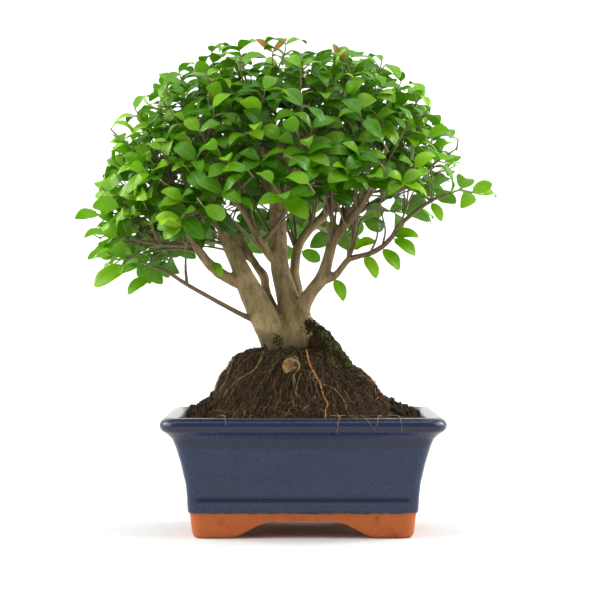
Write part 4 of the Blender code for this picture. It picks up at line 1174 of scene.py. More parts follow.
def branchlet(anchor, direction, limbs, taken, steps_of=BRANCHLET_STEP):
    """A curved branchlet from the best place on the limbs to a shoot's start."""
    best = None
    for stations in limbs:
        for k in range(1, len(stations)):
            place, radius = stations[k]
            along = (place - stations[k - 1][0]).normalized()
            gap = anchor - place
            if radius < 1.1 or place.z < LOWEST_BRANCHLET or gap.length < 6:
                continue
            crowded = sum(max(0, CROWDING - (place - t).length) for t in taken)
            bonus = TIP_BONUS if k == len(stations) - 1 else 0
            cost = gap.length * (1.35 - 0.55 * gap.normalized().dot(along)) + crowded - bonus
            if best is None or cost < best[0]:
                best = (cost, place, radius, along)
    _, place, radius, along = best
    taken.append(place)
    gap = anchor - place
    leave = (along * 0.6 + gap.normalized()).normalized() * gap.length * 0.4
    arrive = (direction * 0.8 + gap.normalized()).normalized() * gap.length * 0.35
    steps = max(2, round(gap.length / steps_of))
    stations = []
    for step in range(steps + 1):
        t = step / steps
        a, b, c = (1 - t) ** 3, 3 * t * (1 - t) ** 2, 3 * t ** 2 * (1 - t)
        spot = a * place + b * (place + leave) + c * (anchor - arrive) + t ** 3 * anchor
        stations.append((spot, min(radius * 0.75, 1.9) * (1 - t) + 0.95 * t))
    return stations


def end_of(stations):
    """Where a limb ends and the direction it ends in."""
    place = stations[-1][0]
    return place, (place - stations[-2][0]).normalized()


def shoot_path(start, first, direction, length, rng, spacing):
    """Stations of a shoot, one at each node, that leaves along first and turns to its direction."""
    nodes = max(2, round(length / spacing))
    aim = (direction + 0.2 * random_vector(rng)).normalized()
    heading = first
    place = start.copy()
    stations = [(start.copy(), TWIG_RADIUS)]
    for k in range(nodes):
        place = place + heading * (length / nodes)
        heading = (heading + aim * 0.9 + 0.12 * random_vector(rng)).normalized()
        stations.append((place.copy(), TWIG_RADIUS - 0.15 * (k + 1) / nodes))
    return stations


def random_vector(rng):
    """A vector with each of its parts between -1 and 1."""
    return Vector([rng.uniform(-1, 1) for _ in range(3)])


def node_axes(stations, k, normal):
    """At a node of a shoot: the way it runs, and the two ways across that its square sides face."""
    after = stations[min(k + 1, len(stations) - 1)][0]
    tangent = (after - stations[k - 1][0]).normalized()
    return tangent, square_axes(tangent, normal)


def slots_of(k, last):
    """The sides of a node that may carry a leaf: two by turns, all four below the tip, and the tip."""
    if k == last:
        return (TIP,)
    return range(4) if k == last - 1 and last > 2 else (k % 2, k % 2 + 2)


def slot_way(axes, slot):
    """The way out of the shoot at one of a node's four sides."""
    return axes[slot % 2] * (1 if slot < 2 else -1)


def leaf_shape(leaf, swell=0.0):
    """Corners and faces of the solid of one leaf, from its root to its tip."""
    root, along, normal, length, width = leaf
    side, normal = square_axes(along, normal)
    thick = LEAF_HALF_THICKNESS + swell
    corners = []
    for at, wide, arch in ((0.05, 0.14, 0.0), *LEAF_SECTIONS):
        centre = root + along * length * at + normal * LEAF_ARCH * arch
        reach = side * (width / 2 * wide + swell)
        corners += [centre + s * reach + n * thick * normal for s, n in ((-1, -1), (1, -1), (1, 1), (-1, 1))]
    corners.append(leaf_tip(leaf) + along * swell)
    faces = [(3, 2, 1, 0)]
    for k in (0, 4):
        faces += [(k + n, k + (n + 1) % 4, k + 4 + (n + 1) % 4, k + 4 + n) for n in range(4)]
    faces += [(8 + n, 8 + (n + 1) % 4, 12) for n in range(4)]
    return corners, faces


def leaf_tip(leaf):
    """The place of a leaf's tip."""
    root, along, normal, length, _ = leaf
    _, normal = square_axes(along, normal)
    return root + along * length - normal * LEAF_ARCH * TIP_DROOP


def outside(place):
    """How far out a place is: 1 on the crown's ellipsoid."""
    return math.sqrt(sum((o / r) ** 2 for o, r in zip(place - CROWN_CENTRE, CROWN_RADII)))


def beyond_crown(place, rules):
    """Whether a place is outside the crown that the rules give."""
    up = max(0, (place.z - CROWN_CENTRE.z) / CROWN_RADII.z)
    return outside(place) > rules.side_limit + rules.top_extra * up ** 2


def fit_leaf(place, tangent, out, faces, spreads, share, grown, ignore, rng, rules):
    """Tries a few attitudes for one leaf, and gives the first that touches nothing, or None."""
    for _ in range(LEAF_ATTEMPTS):
        spread = math.radians(rng.uniform(*spreads))
        along = tangent * math.cos(spread) + out * math.sin(spread)
        along.z = LEAF_LEVEL * along.z + rng.uniform(*LEAF_LIFT)
        along.normalize()
        leans = along.dot(tangent) > LEAN or along.dot(out) < LEAST_OUT
        facing = (faces + LEAF_TURN * random_vector(rng)).normalized()
        length = LEAF_LENGTH * share * rng.uniform(*LENGTH_SHARES)
        width = length * LEAF_WIDTH * rng.uniform(*WIDTH_SHARES)
        leaf = (place, along, facing, length, width)
        if abs(facing.dot(along)) > EDGE_ON or beyond_crown(leaf_tip(leaf), rules):
            continue
        if leans and spreads is LEAF_SPREAD:
            continue
        if grown.is_clear(leaf_shape(leaf, rules.leaf_gap), ignore):
            return leaf
    return None


def plan_leaves(owner, stations, normal, share, grown, rng, forks=(), rules=PART_RULES):
    """The leaves of one shoot, on the sides of its nodes that no fork takes and at its tip."""
    leaves = {}
    last = len(stations) - 1
    for k in range(1, last + 1):
        tangent, axes = node_axes(stations, k, normal)
        young = share * (1 - 0.2 * k / last)
        ignore = ((owner, k), (owner, k + 1))
        for slot in slots_of(k, last):
            if (k, slot) in forks:
                continue
            out = axes[0] if slot == TIP else slot_way(axes, slot)
            faces = axes[1] + UP * 0.5 if slot == TIP else tangent * 0.75 + UP * 0.65
            spreads = TIP_SPREAD if slot == TIP else LEAF_SPREAD
            leaf = fit_leaf(
                stations[k][0], tangent, out, faces, spreads, young, grown, ignore, rng, rules)
            if leaf:
                leaves[(k, slot)] = leaf
                grown.add(leaf_shape(leaf), "leaf")
    return leaves


def plan_path(start, first, direction, length, grown, ignore, rng, rules):
    """A shoot that is clear of what has grown, or None."""
    for _ in range(PATH_ATTEMPTS):
        path = shoot_path(start, first, direction, length, rng, rules.spacing)
        if grown.is_clear(prism(path, rules.shoot_gap), ignore):
            return path
    return None


def plan_fork(spray, grown, rules):
    """A side shoot at a spray's first node, where there is room for one."""
    path, rng, owner = spray["path"], spray["rng"], ("spray", spray["number"])
    tangent, axes = node_axes(path, 1, spray["normal"])
    for slot in rng.sample((1, 3), 2):
        heading = (tangent * 0.7 + slot_way(axes, slot) * 0.75).normalized()
        length = rules.spacing * rng.uniform(1.8, 2.4)
        ignore = ((owner, 1), (owner, 2))
        fork = plan_path(path[1][0], heading, heading, length, grown, ignore, rng, rules)
        if fork:
            fork_owner = ("fork", spray["number"])
            for k in range(1, len(fork)):
                grown.add(prism(fork[k - 1:k + 1]), (fork_owner, k))
            spray["forks"][(1, slot)] = fork
            return


def plan_sprays(starts, grown, first_number=0, rules=PART_RULES):
    """Sprays: a main shoot with at most one side shoot, and the leaves of both."""
    sprays = []
    for anchor, first, direction, length, owner in starts:
        number = first_number + len(sprays)
        rng = random.Random(SEED + 100 + number)
        path = plan_path(anchor + first * END_GAP, first, direction, length, grown, (owner,), rng, rules)
        if not path:
            continue
        for k in range(1, len(path)):
            grown.add(prism(path[k - 1:k + 1]), (("spray", number), k))
        roll = math.pi / 4 + rng.uniform(-0.3, 0.3)
        side, up = square_axes(first, UP if abs(first.z) < 0.85 else Vector((0, -1, 0)))
        normal = (up * math.cos(roll) + side * math.sin(roll)).normalized()
        sprays.append({"number": number, "path": path, "normal": normal, "rng": rng, "forks": {}})
    for spray in sprays:
        plan_fork(spray, grown, rules)
    for spray in sprays:
        rng, number = spray["rng"], spray["number"]
        spray["leaves"] = plan_leaves(
            ("spray", number), spray["path"], spray["normal"], rules.leaf_share, grown, rng, spray["forks"],
            rules)
        for key, fork in spray["forks"].items():
            share = 0.92 * rules.leaf_share
            leaves = plan_leaves(("fork", number), fork, spray["normal"], share, grown, rng, (), rules)
            spray["forks"][key] = (fork, leaves)
    return sprays


def plan_part():
    """Limbs, branchlets and sprays as the part has them, and what they take up."""
    grown = Grown()
    limbs = {name: smooth(points, steps) for name, (steps, points) in LIMBS.items()}
    for name, stations in limbs.items():
        grown.add(prism(stations), name)
    wood = [stations[:-1] if name in TIP_SHOOTS else stations for name, stations in limbs.items()]
    branchlets, starts, taken = [], [], []
    for k, (anchor, direction, length) in enumerate(crown_anchors()):
        stations = branchlet(anchor, direction, wood, taken)
        branchlets.append(stations)
        grown.add(prism(stations), ("branchlet", k))
        starts.append((anchor, end_of(stations)[1], direction, length, ("branchlet", k)))
    for name, (direction, length) in TIP_SHOOTS.items():
        anchor, first = end_of(limbs[name])
        starts.append((anchor, first, Vector(direction).normalized(), length, name))
    return wood, branchlets, plan_sprays(starts, grown), grown, taken


def plan_more(wood, branchlets, grown, taken, shoots):
    """Shoots that fill the crown between those of the part, from the outside in."""
    more_branchlets, sprays = [], []
    for layer, (part, share) in enumerate(MORE_LAYERS):
        starts = []
        anchors = crown_anchors(round(shoots * part), share, MORE_SEED + layer, 1.3 + layer, MORE_RAISED)
        for anchor, direction, length in anchors:
            stations = branchlet(anchor, direction, wood + branchlets, taken, 12)
            stations = [(place, radius * MORE_THICKNESS) for place, radius in stations]
            owner = ("more", len(more_branchlets))
            more_branchlets.append(stations)
            grown.add(prism(stations), owner)
            starts.append((anchor, end_of(stations)[1], direction, max(length, MORE_SHORTEST), owner))
        sprays += plan_sprays(starts, grown, MORE_FIRST + len(sprays), MORE_RULES)
    return more_branchlets, sprays


@functools.cache
def tree_plan(shoots):
    """Everything that grows: the part's branchlets and sprays, and those added here."""
    wood, branchlets, sprays, grown, taken = plan_part()
    more_branchlets, more_sprays = plan_more(wood, branchlets, grown, taken, shoots)
    return branchlets, sprays, more_branchlets, more_sprays


# Wood

# Limbs are one grown body down to this radius and twigs beyond it, and each of their steps is divided
THICK = 2.1
FINE_STEPS = 7
# Rings of the sawn face: how far from its middle as a share of the stub's radius, and how far out it stands
CUT_RINGS = ((1.0, -1.2), (1.0, 0.5), (0.93, 0.9), (0.86, 0.1), (0.6, 0.0), (0.35, 0.15), (0.12, 0.1))
CUT_SIDES = 30


def limb_parts():
    """The limbs in fine steps, cut where they grow thin: the thick parts and the thin parts."""
    thick, thin = [], []
    for steps, points in LIMBS.values():
        stations = smooth(points, steps * FINE_STEPS)
        cut = next((k for k, (_, radius) in enumerate(stations) if radius < THICK), len(stations))
        if cut > 3:
            thick.append(stations[:cut])
        if cut < len(stations) - 1:
            thin.append(stations[max(cut - 3, 0):])
    return thick, thin


def knobbly(stations, amount, size):
    """Stations with a radius that varies along them, as bark and old leaf scars make it."""
    return [(p, r * (1 + amount * noise.noise(p / size))) for p, r in stations]


def grown_together(tubes, voxel):
    """One mesh that joins overlapping tubes, with soft joins."""
    body = bpy.data.objects.new("body", Shape(*tubes).mesh("body"))
    bpy.context.scene.collection.objects.link(body)
    step = body.modifiers.new("join", "REMESH")
    step.mode, step.voxel_size = "VOXEL", voxel * MM
    step = body.modifiers.new("soften", "SMOOTH")
    step.factor, step.iterations = 0.5, 4
    made = evaluated_mesh(body)
    bpy.data.objects.remove(body)
    return made


SCARS = (
    (Vector((6, -14, 152)), 4.2), (Vector((10, -13, 146)), 3.0), (Vector((-27, -17, 158)), 1.4),
    (Vector((-46, -19, 180)), 1.8), (Vector((-17, -12, 196)), 1.4),
)


def bark_marks(spot):
    """At a place on the wood: how dark a scar is there, and how much moss and algae."""
    scar = 0.0
    for centre, size in SCARS:
        ragged = 1 + 0.5 * noise.noise(spot / 2.2)
        scar = max(scar, ease(-(spot - centre).length / ragged, -size * 1.25, -size * 0.6))
    right = ease(spot.x, 4, 16) * ease(-spot.z, -156, -138)
    low = ease(-spot.z, -160, -134)
    crotch = ease(-abs(spot.x + 16), -9, -2) * ease(-spot.z, -160, -150)
    dirty = ease(-spot.z, -147, -131)
    return max(scar, 0.55 * right, 0.7 * dirty), max(low, 0.8 * right, 0.5 * crotch)


def leafy_shoots(spray):
    """The shoots of a spray, each as far as its last leaf."""
    for path, leaves in ((spray["path"], spray["leaves"]), *spray["forks"].values()):
        last = max((k for k, _ in leaves), default=1)
        yield path[:max(last, 1) + 1]


def build_wood(looks, leaf_looks):
    """The thick wood as one grown body, the twigs as tubes, and the sawn face of the stub."""
    thick, thin = limb_parts()
    mesh = grown_together([tube(stations, 26) for stations in thick], looks.voxel)
    mesh.update()
    moved = []
    for v in mesh.vertices:
        spot = (v.co - ORIGIN) / MM
        tall = Vector((spot.x, spot.y, spot.z * 0.35))
        rough = 0.9 * noise.noise(tall / 9) + 0.5 * noise.noise(tall / 3.6) + 0.3 * noise.noise(tall / 1.7)
        low = ease(-spot.z, -150, -128)
        scar, _ = bark_marks(spot)
        rough = rough * (0.45 + 0.9 * low) * looks.relief - 0.5 * scar * (spot.z > 138)
        moved.append(v.co + v.normal * rough * MM)
    for v, spot in zip(mesh.vertices, moved):
        v.co = spot
    mesh.update()
    set_map(mesh, "Marks", [bark_marks((v.co - ORIGIN) / MM) for v in mesh.vertices])
    put("trunks_and_limbs", mesh, [bark_material(looks)], ["tree_wood"])
    branchlets, sprays, more_branchlets, more_sprays = tree_plan(leaf_looks.more_shoots)
    twigs = Shape()
    for stations in thin:
        twigs.add(*tube(knobbly(stations, 0.16, 3.0), 9))
    for stations in branchlets + more_branchlets:
        points = [(*place, radius) for place, radius in stations]
        fine = smooth(points, (len(points) - 1) * 5)
        twigs.add(*tube(knobbly(fine, 0.18, 2.5), 8), mark=(0.15, 0.0))
    for spray in sprays + more_sprays:
        for path in leafy_shoots(spray):
            start = path[0][0] - (path[1][0] - path[0][0]).normalized() * 1.5
            points = [(*start, path[0][1])] + [(*place, radius) for place, radius in path[1:]]
            fine = smooth(points, (len(points) - 1) * 3)
            tip = len(fine) - 1
            stations = [(p, r * (1 - 0.35 * k / tip)) for k, (p, r) in enumerate(fine)]
            twigs.add(*tube(stations, 6), mark=(0.75, 0.0))
    for root, _, _ in NEWEST_LEAVES[::2]:
        top = Vector(root)
        twigs.add(*tube([(top - UP * NEWEST_SHOOT, 0.7), (top, 0.5)], 6), mark=(0.75, 0.0))
    mesh = twigs.mesh("twigs")
    set_map(mesh, "Marks", twigs.marks)
    put("twigs", mesh, [twig_material(looks)])
    build_cut_face(looks)


def build_cut_face(looks):
    """The sawn end of the stub that faces the front, a shallow uneven disc with a bark rim."""
    (before, _), (centre, radius) = smooth(LIMBS["cut_stub"][1], 2)[-2:]
    along = (centre - before).normalized()
    side, up = square_axes(along, UP)
    corners = []
    for share, lift in CUT_RINGS:
        for n in range(CUT_SIDES):
            angle = n * math.tau / CUT_SIDES
            ragged = 1 + 0.09 * noise.noise(Vector((2 * math.cos(angle), 2 * math.sin(angle), 4)))
            spot = centre + (side * math.cos(angle) + up * math.sin(angle)) * radius * share * ragged
            corners.append(spot + along * (lift + 0.35 * noise.noise(spot / 1.8)))
    mesh = Shape((corners, lattice(len(CUT_RINGS), CUT_SIDES))).mesh("cut_stub_face")
    put("cut_stub_face", mesh, [cut_wood_material(looks)])


# Leaves

# The newest leaves, slender and bronze, at two shoot tips on top: (root, way, length)
NEWEST_LEAVES = (
    ((-22, -12, 352), (-0.75, -0.1, 0.65), 16.0), ((-22, -12, 352), (0.7, -0.1, 0.7), 15.0),
    ((29, -10, 343), (-0.35, -0.1, 0.93), 17.0), ((29, -10, 343), (0.1, 0.1, 0.98), 13.0),
)
NEWEST_WIDTH = 0.32
NEWEST_SHOOT = 16.0
# Leaves that stand alone on the low branches in the photograph: (root, tip)
LONE_LEAVES = (
    ((23, -9, 186), (31, -12, 170)), ((45, -17, 203), (55, -20, 187)), ((58, -20, 208), (70, -24, 192)),
    ((66, -22, 215), (82, -27, 203)), ((65, -22, 217), (84, -26, 217)), ((37, -14, 207), (53, -20, 213)),
    ((93.5, -26, 241), (101, -31, 228)), ((-127, -36, 195), (-150, -42, 180)),
    ((-111, -35, 186), (-126, -40, 175)), ((-66, -18, 198), (-59, -24, 188)),
    ((-100, -30, 236), (-121, -38, 231)),
)
LONE_WIDTH = 0.5

# Along the leaf: where each ring is, and its half width as a share of the widest
STALK_END = 0.07
RING_PLACES = (0.0, STALK_END, 0.12, 0.2, 0.31, 0.44, 0.57, 0.7, 0.82, 0.92, 0.975, 1.0)
TOP_ACROSS = (-1, -2 / 3, -1 / 3, 0, 1 / 3, 2 / 3, 1)
UNDER_ACROSS = (1 / 2, 0, -1 / 2)
WIDEST = 0.4356
TIP_WIDTH = 0.04
# The arch of the part's leaf as a cubic through its sections
ARCH_CURVE = np.polyfit(
    (0, *(at for at, _, _ in LEAF_SECTIONS), 1), (0, *(up for _, _, up in LEAF_SECTIONS), -TIP_DROOP), 3)


def leaf_template():
    """Rings of a leaf of unit length and width: across, along, up, and its place on the leaf."""
    across, along, lift, spots = [], [], [], []
    for t in RING_PLACES:
        x = max((t - STALK_END) / (1 - STALK_END), 0.0)
        wide = max(x ** 0.58 * (1 - x) ** 0.62 / WIDEST, TIP_WIDTH) if x > 0 else 0.0
        blade = ease(t, STALK_END - 0.01, STALK_END + 0.06)
        for up, row in ((1, TOP_ACROSS), (-1, UNDER_ACROSS)):
            for s in row:
                across.append((s, wide, blade))
                along.append(t)
                rim = abs(s) == 1
                lift.append(0.0 if rim else up)
                spots.append(((s + 1) / 2, t))
    return np.array(across), np.array(along), np.array(lift), np.array(spots)


def leaf_corners(leaf, template, rng, looks):
    """The corners of one leaf in its place."""
    root, way, facing, length, width = leaf
    side, normal = square_axes(way, facing)
    across, t, lift, _ = template
    s, wide, blade = across.T
    half = width / 2 * wide
    stalk = 0.5 * (1 - blade)
    out = s * (half + stalk)
    fold = math.tan(math.radians(looks.fold * rng.uniform(0.5, 1.5)))
    wave = rng.uniform(0.1, 0.5) * np.sin(math.tau * (1.6 * t + rng.random())) * s * s * np.sign(s)
    curl = rng.uniform(-0.6, 0.9) * s * s * wide
    arch = LEAF_ARCH * np.polyval(ARCH_CURVE, t)
    thick = looks.thickness / 2 * blade + 0.5 * (1 - blade)
    rib = np.where((s == 0) & (lift < 0), 0.22 * blade * (1 - t), 0) + np.where((s == 0) & (lift > 0), 0.1, 0)
    up = arch + fold * np.abs(out) * blade + (wave - curl) * blade + lift * thick - rib
    bend = rng.uniform(-0.05, 0.05) * length
    sway = bend * t ** 2
    return (
        np.array(root)[None, :] + np.outer(t * length, np.array(way))
        + np.outer(out + sway, np.array(side)) + np.outer(up, np.array(normal)))


def leaf_faces():
    """Faces of a leaf's rings, and for each one whether it is on the underside."""
    count = len(TOP_ACROSS) + len(UNDER_ACROSS)
    rows = len(RING_PLACES)
    faces, under = [], []
    for k in range(rows - 1):
        for n in range(count):
            a, b = k * count + n, k * count + (n + 1) % count
            faces.append((a, a + count, b + count, b))
            under.append(n >= len(TOP_ACROSS) - 1)
    faces.append(tuple(range(count)))
    faces.append(tuple(reversed(range((rows - 1) * count, rows * count))))
    under += [True, True]
    return faces, under


def youth_and_light_of(leaf, place, last):
    """How young a leaf looks and how much painted light it has: outer leaves are younger and brighter, most
    at the crown's sides where the brightness is painted light, and younger still towards the shoot's end;
    inner leaves are older and darkened as painted shade.
    """
    tip = leaf_tip(leaf)
    # Painted light outside and at the crown's sides, painted shade inside, along with the leaves' age
    out = ease(outside(tip), 0.55, 1.0)
    side = ease(abs(tip.x - CROWN_CENTRE.x) / CROWN_RADII.x, 0.4, 0.85)
    return 0.1 + (0.36 + 0.26 * side + 0.2 * place / last) * out


def all_leaves(spray):
    """Leaves of a spray, each with how far along its shoot it is."""
    last = len(spray["path"]) - 1
    for (k, _), leaf in spray["leaves"].items():
        yield leaf, k, last
    for fork, leaves in spray["forks"].values():
        for (k, _), leaf in leaves.items():
            yield leaf, k, len(fork) - 1


def placed_leaves():
    """The bronze leaves at the top and the lone leaves low down, each with its tone for age and painted
    light.
    """
    for root, way, length in NEWEST_LEAVES:
        facing = Vector((0, -1, 0.3))
        yield (Vector(root), Vector(way).normalized(), facing, length, length * NEWEST_WIDTH), 1.0
    for root, tip in LONE_LEAVES:
        way, facing = Vector(tip) - Vector(root), Vector((0, -0.8, 0.6))
        yield (Vector(root), way.normalized(), facing, way.length, way.length * LONE_WIDTH), 0.7


def build_leaves(looks):
    """The leaves of the part's sprays and of the added ones, in a few pieces that share out the sprays."""
    _, sprays, _, more_sprays = tree_plan(looks.more_shoots)
    finishes = [leaf_material(looks, True), leaf_material(looks, False)]
    template = leaf_template()
    faces, under = leaf_faces()
    for piece in range(LEAF_PIECES):
        rng = random.Random(LEAF_SEED + piece)
        share = SPRAY_NODES[piece::LEAF_PIECES]
        members = [s for s in sprays if f"spray_{s['number']:02d}" in share]
        members += more_sprays[piece::LEAF_PIECES]
        leaves = []
        for spray in members:
            for leaf, k, last in all_leaves(spray):
                # Each leaf's tone for its age, painted light and painted shade, with some chance
                leaves.append((leaf, min(max(youth_and_light_of(leaf, k, last) + rng.gauss(0, 0.1), 0.0), 0.93)))
        if piece == 0:
            leaves += placed_leaves()
        corners, all_faces, spots, youth_light_and_tint, slots = [], [], [], [], []
        for leaf, young in leaves:
            first = len(corners) * len(template[1])
            corners.append(leaf_corners(leaf, template, rng, looks))
            all_faces += [tuple(first + n for n in face) for face in faces]
            spots.append(template[3])
            youth_light_and_tint.append(np.tile((young, rng.random()), (len(template[1]), 1)))
            slots += under
        name = f"leaves_{piece + 1}"
        mesh = bpy.data.meshes.new(name)
        places = np.concatenate(corners) * MM + np.array(ORIGIN)
        mesh.from_pydata(places.tolist(), [], all_faces)
        mesh.update()
        set_map(mesh, "Leaf", np.concatenate(spots))
        set_map(mesh, "Growth", np.concatenate(youth_light_and_tint))
        put(name, mesh, finishes, share)
        mesh.polygons.foreach_set("material_index", np.array(slots, np.int32))
        mesh.set_sharp_from_angle(angle=math.radians(60))


# Stage

# The paper sweep, in metres: where it starts to bend up behind the bonsai, its bend, and its edges
SWEEP_START = 0.9
SWEEP_BEND = 0.9
SWEEP_STEPS = 24
SWEEP_TOP = 3.0
SWEEP_FRONT = 2.5
SWEEP_HALF_WIDTH = 2.2


def build_stage(looks):
    """The paper sweep, the softboxes and the camera."""
    profile = [(-SWEEP_FRONT, 0.0)]
    for step in range(SWEEP_STEPS + 1):
        angle = math.pi / 2 * step / SWEEP_STEPS
        profile.append((SWEEP_START + SWEEP_BEND * math.sin(angle), SWEEP_BEND * (1 - math.cos(angle))))
    profile.append((SWEEP_START + SWEEP_BEND, SWEEP_TOP))
    rows = [[(x, y, z) for y, z in profile] for x in (-SWEEP_HALF_WIDTH, SWEEP_HALF_WIDTH)]
    count = len(profile)
    mesh = bpy.data.meshes.new("floor")
    mesh.from_pydata(rows[0] + rows[1], [], [(k, k + count, k + count + 1, k + 1) for k in range(count - 1)])
    mesh.shade_smooth()
    floor = bpy.data.objects.new("floor", mesh)
    mesh.materials.append(paper_material(looks))
    bpy.context.scene.collection.objects.link(floor)
    world = bpy.data.worlds.new("studio")
    world.use_nodes = True
    sky = world.node_tree.nodes["Background"]
    sky.inputs[0].default_value = (1, 1, 1, 1)
    sky.inputs[1].default_value = looks.surround
    bpy.context.scene.world = world
    above, backdrop = (0, 0, 0.2), (0, SWEEP_START + SWEEP_BEND, 0.45)
    lamps = (
        ("overhead_softbox", (0.0, -0.1, 1.45), 1.6, looks.overhead, above),
        ("left_side_softbox", (-1.3, -0.35, 0.75), 1.2, looks.side, above),
        ("right_side_softbox", (1.3, -0.15, 0.75), 1.2, looks.side, above),
        ("left_backdrop_light", (-1.5, 0.5, 0.9), 1.0, looks.backdrop, backdrop),
        ("right_backdrop_light", (1.5, 0.5, 0.9), 1.0, looks.backdrop, backdrop),
    )
    for name, place, width, power, aim in lamps:
        light = bpy.data.lights.new(name, "AREA")
        light.energy, light.size = power, width
        lamp = bpy.data.objects.new(name, light)
        lamp.location = place
        lamp.rotation_euler = (Vector(aim) - Vector(place)).to_track_quat("-Z", "Y").to_euler()
        bpy.context.scene.collection.objects.link(lamp)
    camera = bpy.data.objects.new("camera", bpy.data.cameras.new("camera"))
    camera.data.sensor_width = 36
    camera.data.lens = looks.lens
    camera.data.clip_end = 20
    camera.location = ORIGIN + Vector(looks.camera)
    camera.rotation_euler = (math.pi / 2, 0, math.radians(-0.35))
    bpy.context.scene.collection.objects.link(camera)
    bpy.context.scene.camera = camera
    bpy.context.scene.view_settings.view_transform = "Standard"


# Settings


def colour_setting(name, description, code):
    """A property for a colour."""
    return bpy.props.FloatVectorProperty(
        name=name, description=description, subtype="COLOR", size=3, min=0, max=1, default=linear(code))


def count_setting(name, description, default, most):
    """A property for an amount."""
    return bpy.props.IntProperty(name=name, description=description, default=default, min=0, max=most)


def size_setting(name, description, default, least, most, unit="NONE"):
    """A property for a size, a share or a power."""
    return bpy.props.FloatProperty(
        name=name, description=description, default=default, min=least, max=most, unit=unit)


class PotLooks(bpy.types.PropertyGroup):
    """Sizes and colours of the pot."""

    panel_depth: size_setting("Panel depth", "How far each wall's panel is set back, in mm", 0.9, 0, 2)
    glaze_line: size_setting("Glaze line", "Height at which the glaze ends, in mm", 18.4, 10, 30)
    glaze: colour_setting("Glaze", "Main blue of the glaze", "#1C3154")
    glaze_dark: colour_setting("Dark glaze", "Darker blue of its mottle", "#0F1C3A")
    # Painted shade under the rim, on the lower half of the lip and along the groove
    glaze_painted_shade: colour_setting("Pooled glaze", "Blue where the glaze is thick", "#151A2C")
    glaze_thin: colour_setting("Thin glaze", "Brown where the glaze is thin", "#4A4038")
    clay: colour_setting("Clay", "Bare fired clay", "#B05A28")
    clay_dark: colour_setting("Smeared clay", "Clay with smears", "#8E431B")
    clay_pale: colour_setting("Clay dust", "Palest grain of the clay", "#D08A55")


class SoilLooks(bpy.types.PropertyGroup):
    """Colours and amounts of the peat, roots and moss."""

    crumbs: count_setting("Crumbs", "Loose lumps on the peat", 700, 3000)
    clods: count_setting("Clods", "Clods heaped at both ends of the pot", 520, 2000)
    surface_roots: count_setting("Surface roots", "Roots that run down the mound", 34, 100)
    fibres: count_setting("Fibres", "Fine root hairs", 1500, 4000)
    peat: colour_setting("Peat", "Main colour of the peat", "#382A17")
    peat_dark: colour_setting("Dark peat", "Damp hollows", "#181108")
    peat_warm: colour_setting("Warm peat", "Rusty clods", "#4C361B")
    fibre: colour_setting("Fibre", "Dry straw-coloured roots", "#8E7450")
    root_orange: colour_setting("Young root", "Rust-coloured root skin", "#B5622F")
    root_pale: colour_setting("Pale root", "Palest root skin", "#C99A66")
    root_olive: colour_setting("Old root", "Olive root skin", "#7B7040")
    moss: colour_setting("Moss", "Green of the moss", "#5B6A22")
    moss_dry: colour_setting("Dry moss", "Olive of dry moss", "#474A1C")


class WoodLooks(bpy.types.PropertyGroup):
    """Sizes and colours of the wood."""

    voxel: size_setting("Grain size", "Size of the mesh of the thick wood, in mm", 1.0, 0.6, 3)
    relief: size_setting("Bark relief", "Height of the bark's plates, in mm", 1.0, 0, 3)
    bark: colour_setting("Bark", "Main colour of the bark", "#8C784F")
    bark_dark: colour_setting("Dark bark", "Bark in cracks", "#3E311B")
    bark_pale: colour_setting("Pale bark", "Freshly flaked bark", "#AC966B")
    algae: colour_setting("Algae", "Green on the low bark", "#4A4220")
    scar: colour_setting("Scar", "Old wounds and dirt", "#2E2015")
    twig: colour_setting("Twig", "Bark of the twigs", "#87704E")
    green_twig: colour_setting("Green twig", "Skin of this year's shoots", "#6B6E33")
    cut_pale: colour_setting("Cut wood", "Sawn heartwood", "#B8935A")
    cut_dark: colour_setting("Ring", "Rings of the sawn wood", "#7F5C33")


class LeafLooks(bpy.types.PropertyGroup):
    """Amounts, sizes and colours of the leaves."""

    more_shoots: count_setting("Added shoots", "Shoots added between those of the part", 440, 900)
    thickness: size_setting("Leaf thickness", "Thickness of a leaf's blade, in mm", 0.4, 0.2, 1)
    fold: size_setting("Fold", "How steeply the halves of a leaf rise, in degrees", 11, 0, 40)
    gloss: size_setting("Roughness", "Roughness of the waxy upper side", 0.24, 0.05, 1)
    translucency: size_setting("Light through", "Share of the light that goes through a leaf", 0.36, 0, 1)
    leaf: colour_setting("Leaf", "Full-grown leaf", "#4C8C06")
    # Dark green of the inner leaves: partly their age, partly painted shade
    old_shaded_leaf: colour_setting("Old leaf", "Leaf inside the crown", "#254A06")
    # Bright yellow green of the outer leaves, most at the crown's sides: partly youth, partly painted light
    young_lit_leaf: colour_setting("Young leaf", "Leaf at the crown's edge", "#98D012")
    newest_leaf: colour_setting("Newest leaf", "Bronze leaf that has just opened", "#C98A45")
    underside: colour_setting("Underside", "Paler side of a leaf", "#7DAE40")
    vein: colour_setting("Vein", "Midrib and side veins", "#A8CC50")
    light_through: colour_setting("Glow", "Light that has gone through a leaf", "#BCF01A")


class StageLooks(bpy.types.PropertyGroup):
    """Floor, lights and camera."""

    floor: colour_setting("Floor", "Background paper", "#E6E6E4")
    surround: size_setting("Surround", "Brightness of the white surround", 0.42, 0, 5)
    overhead: size_setting("Overhead light", "Power of the overhead softbox", 12.0, 0, 200, "POWER")
    backdrop: size_setting("Backdrop light", "Power of each softbox on the backdrop", 26.0, 0, 200, "POWER")
    side: size_setting("Side lights", "Power of the softbox on each side", 17.0, 0, 200, "POWER")
    lens: size_setting("Lens", "Focal length of the camera, in mm", 107.16, 20, 300)
    camera: bpy.props.FloatVectorProperty(
        name="Camera", description="Place of the camera from the middle of the pot's foot",
        subtype="TRANSLATION", unit="LENGTH", default=(-0.010, -1.325, 0.170))


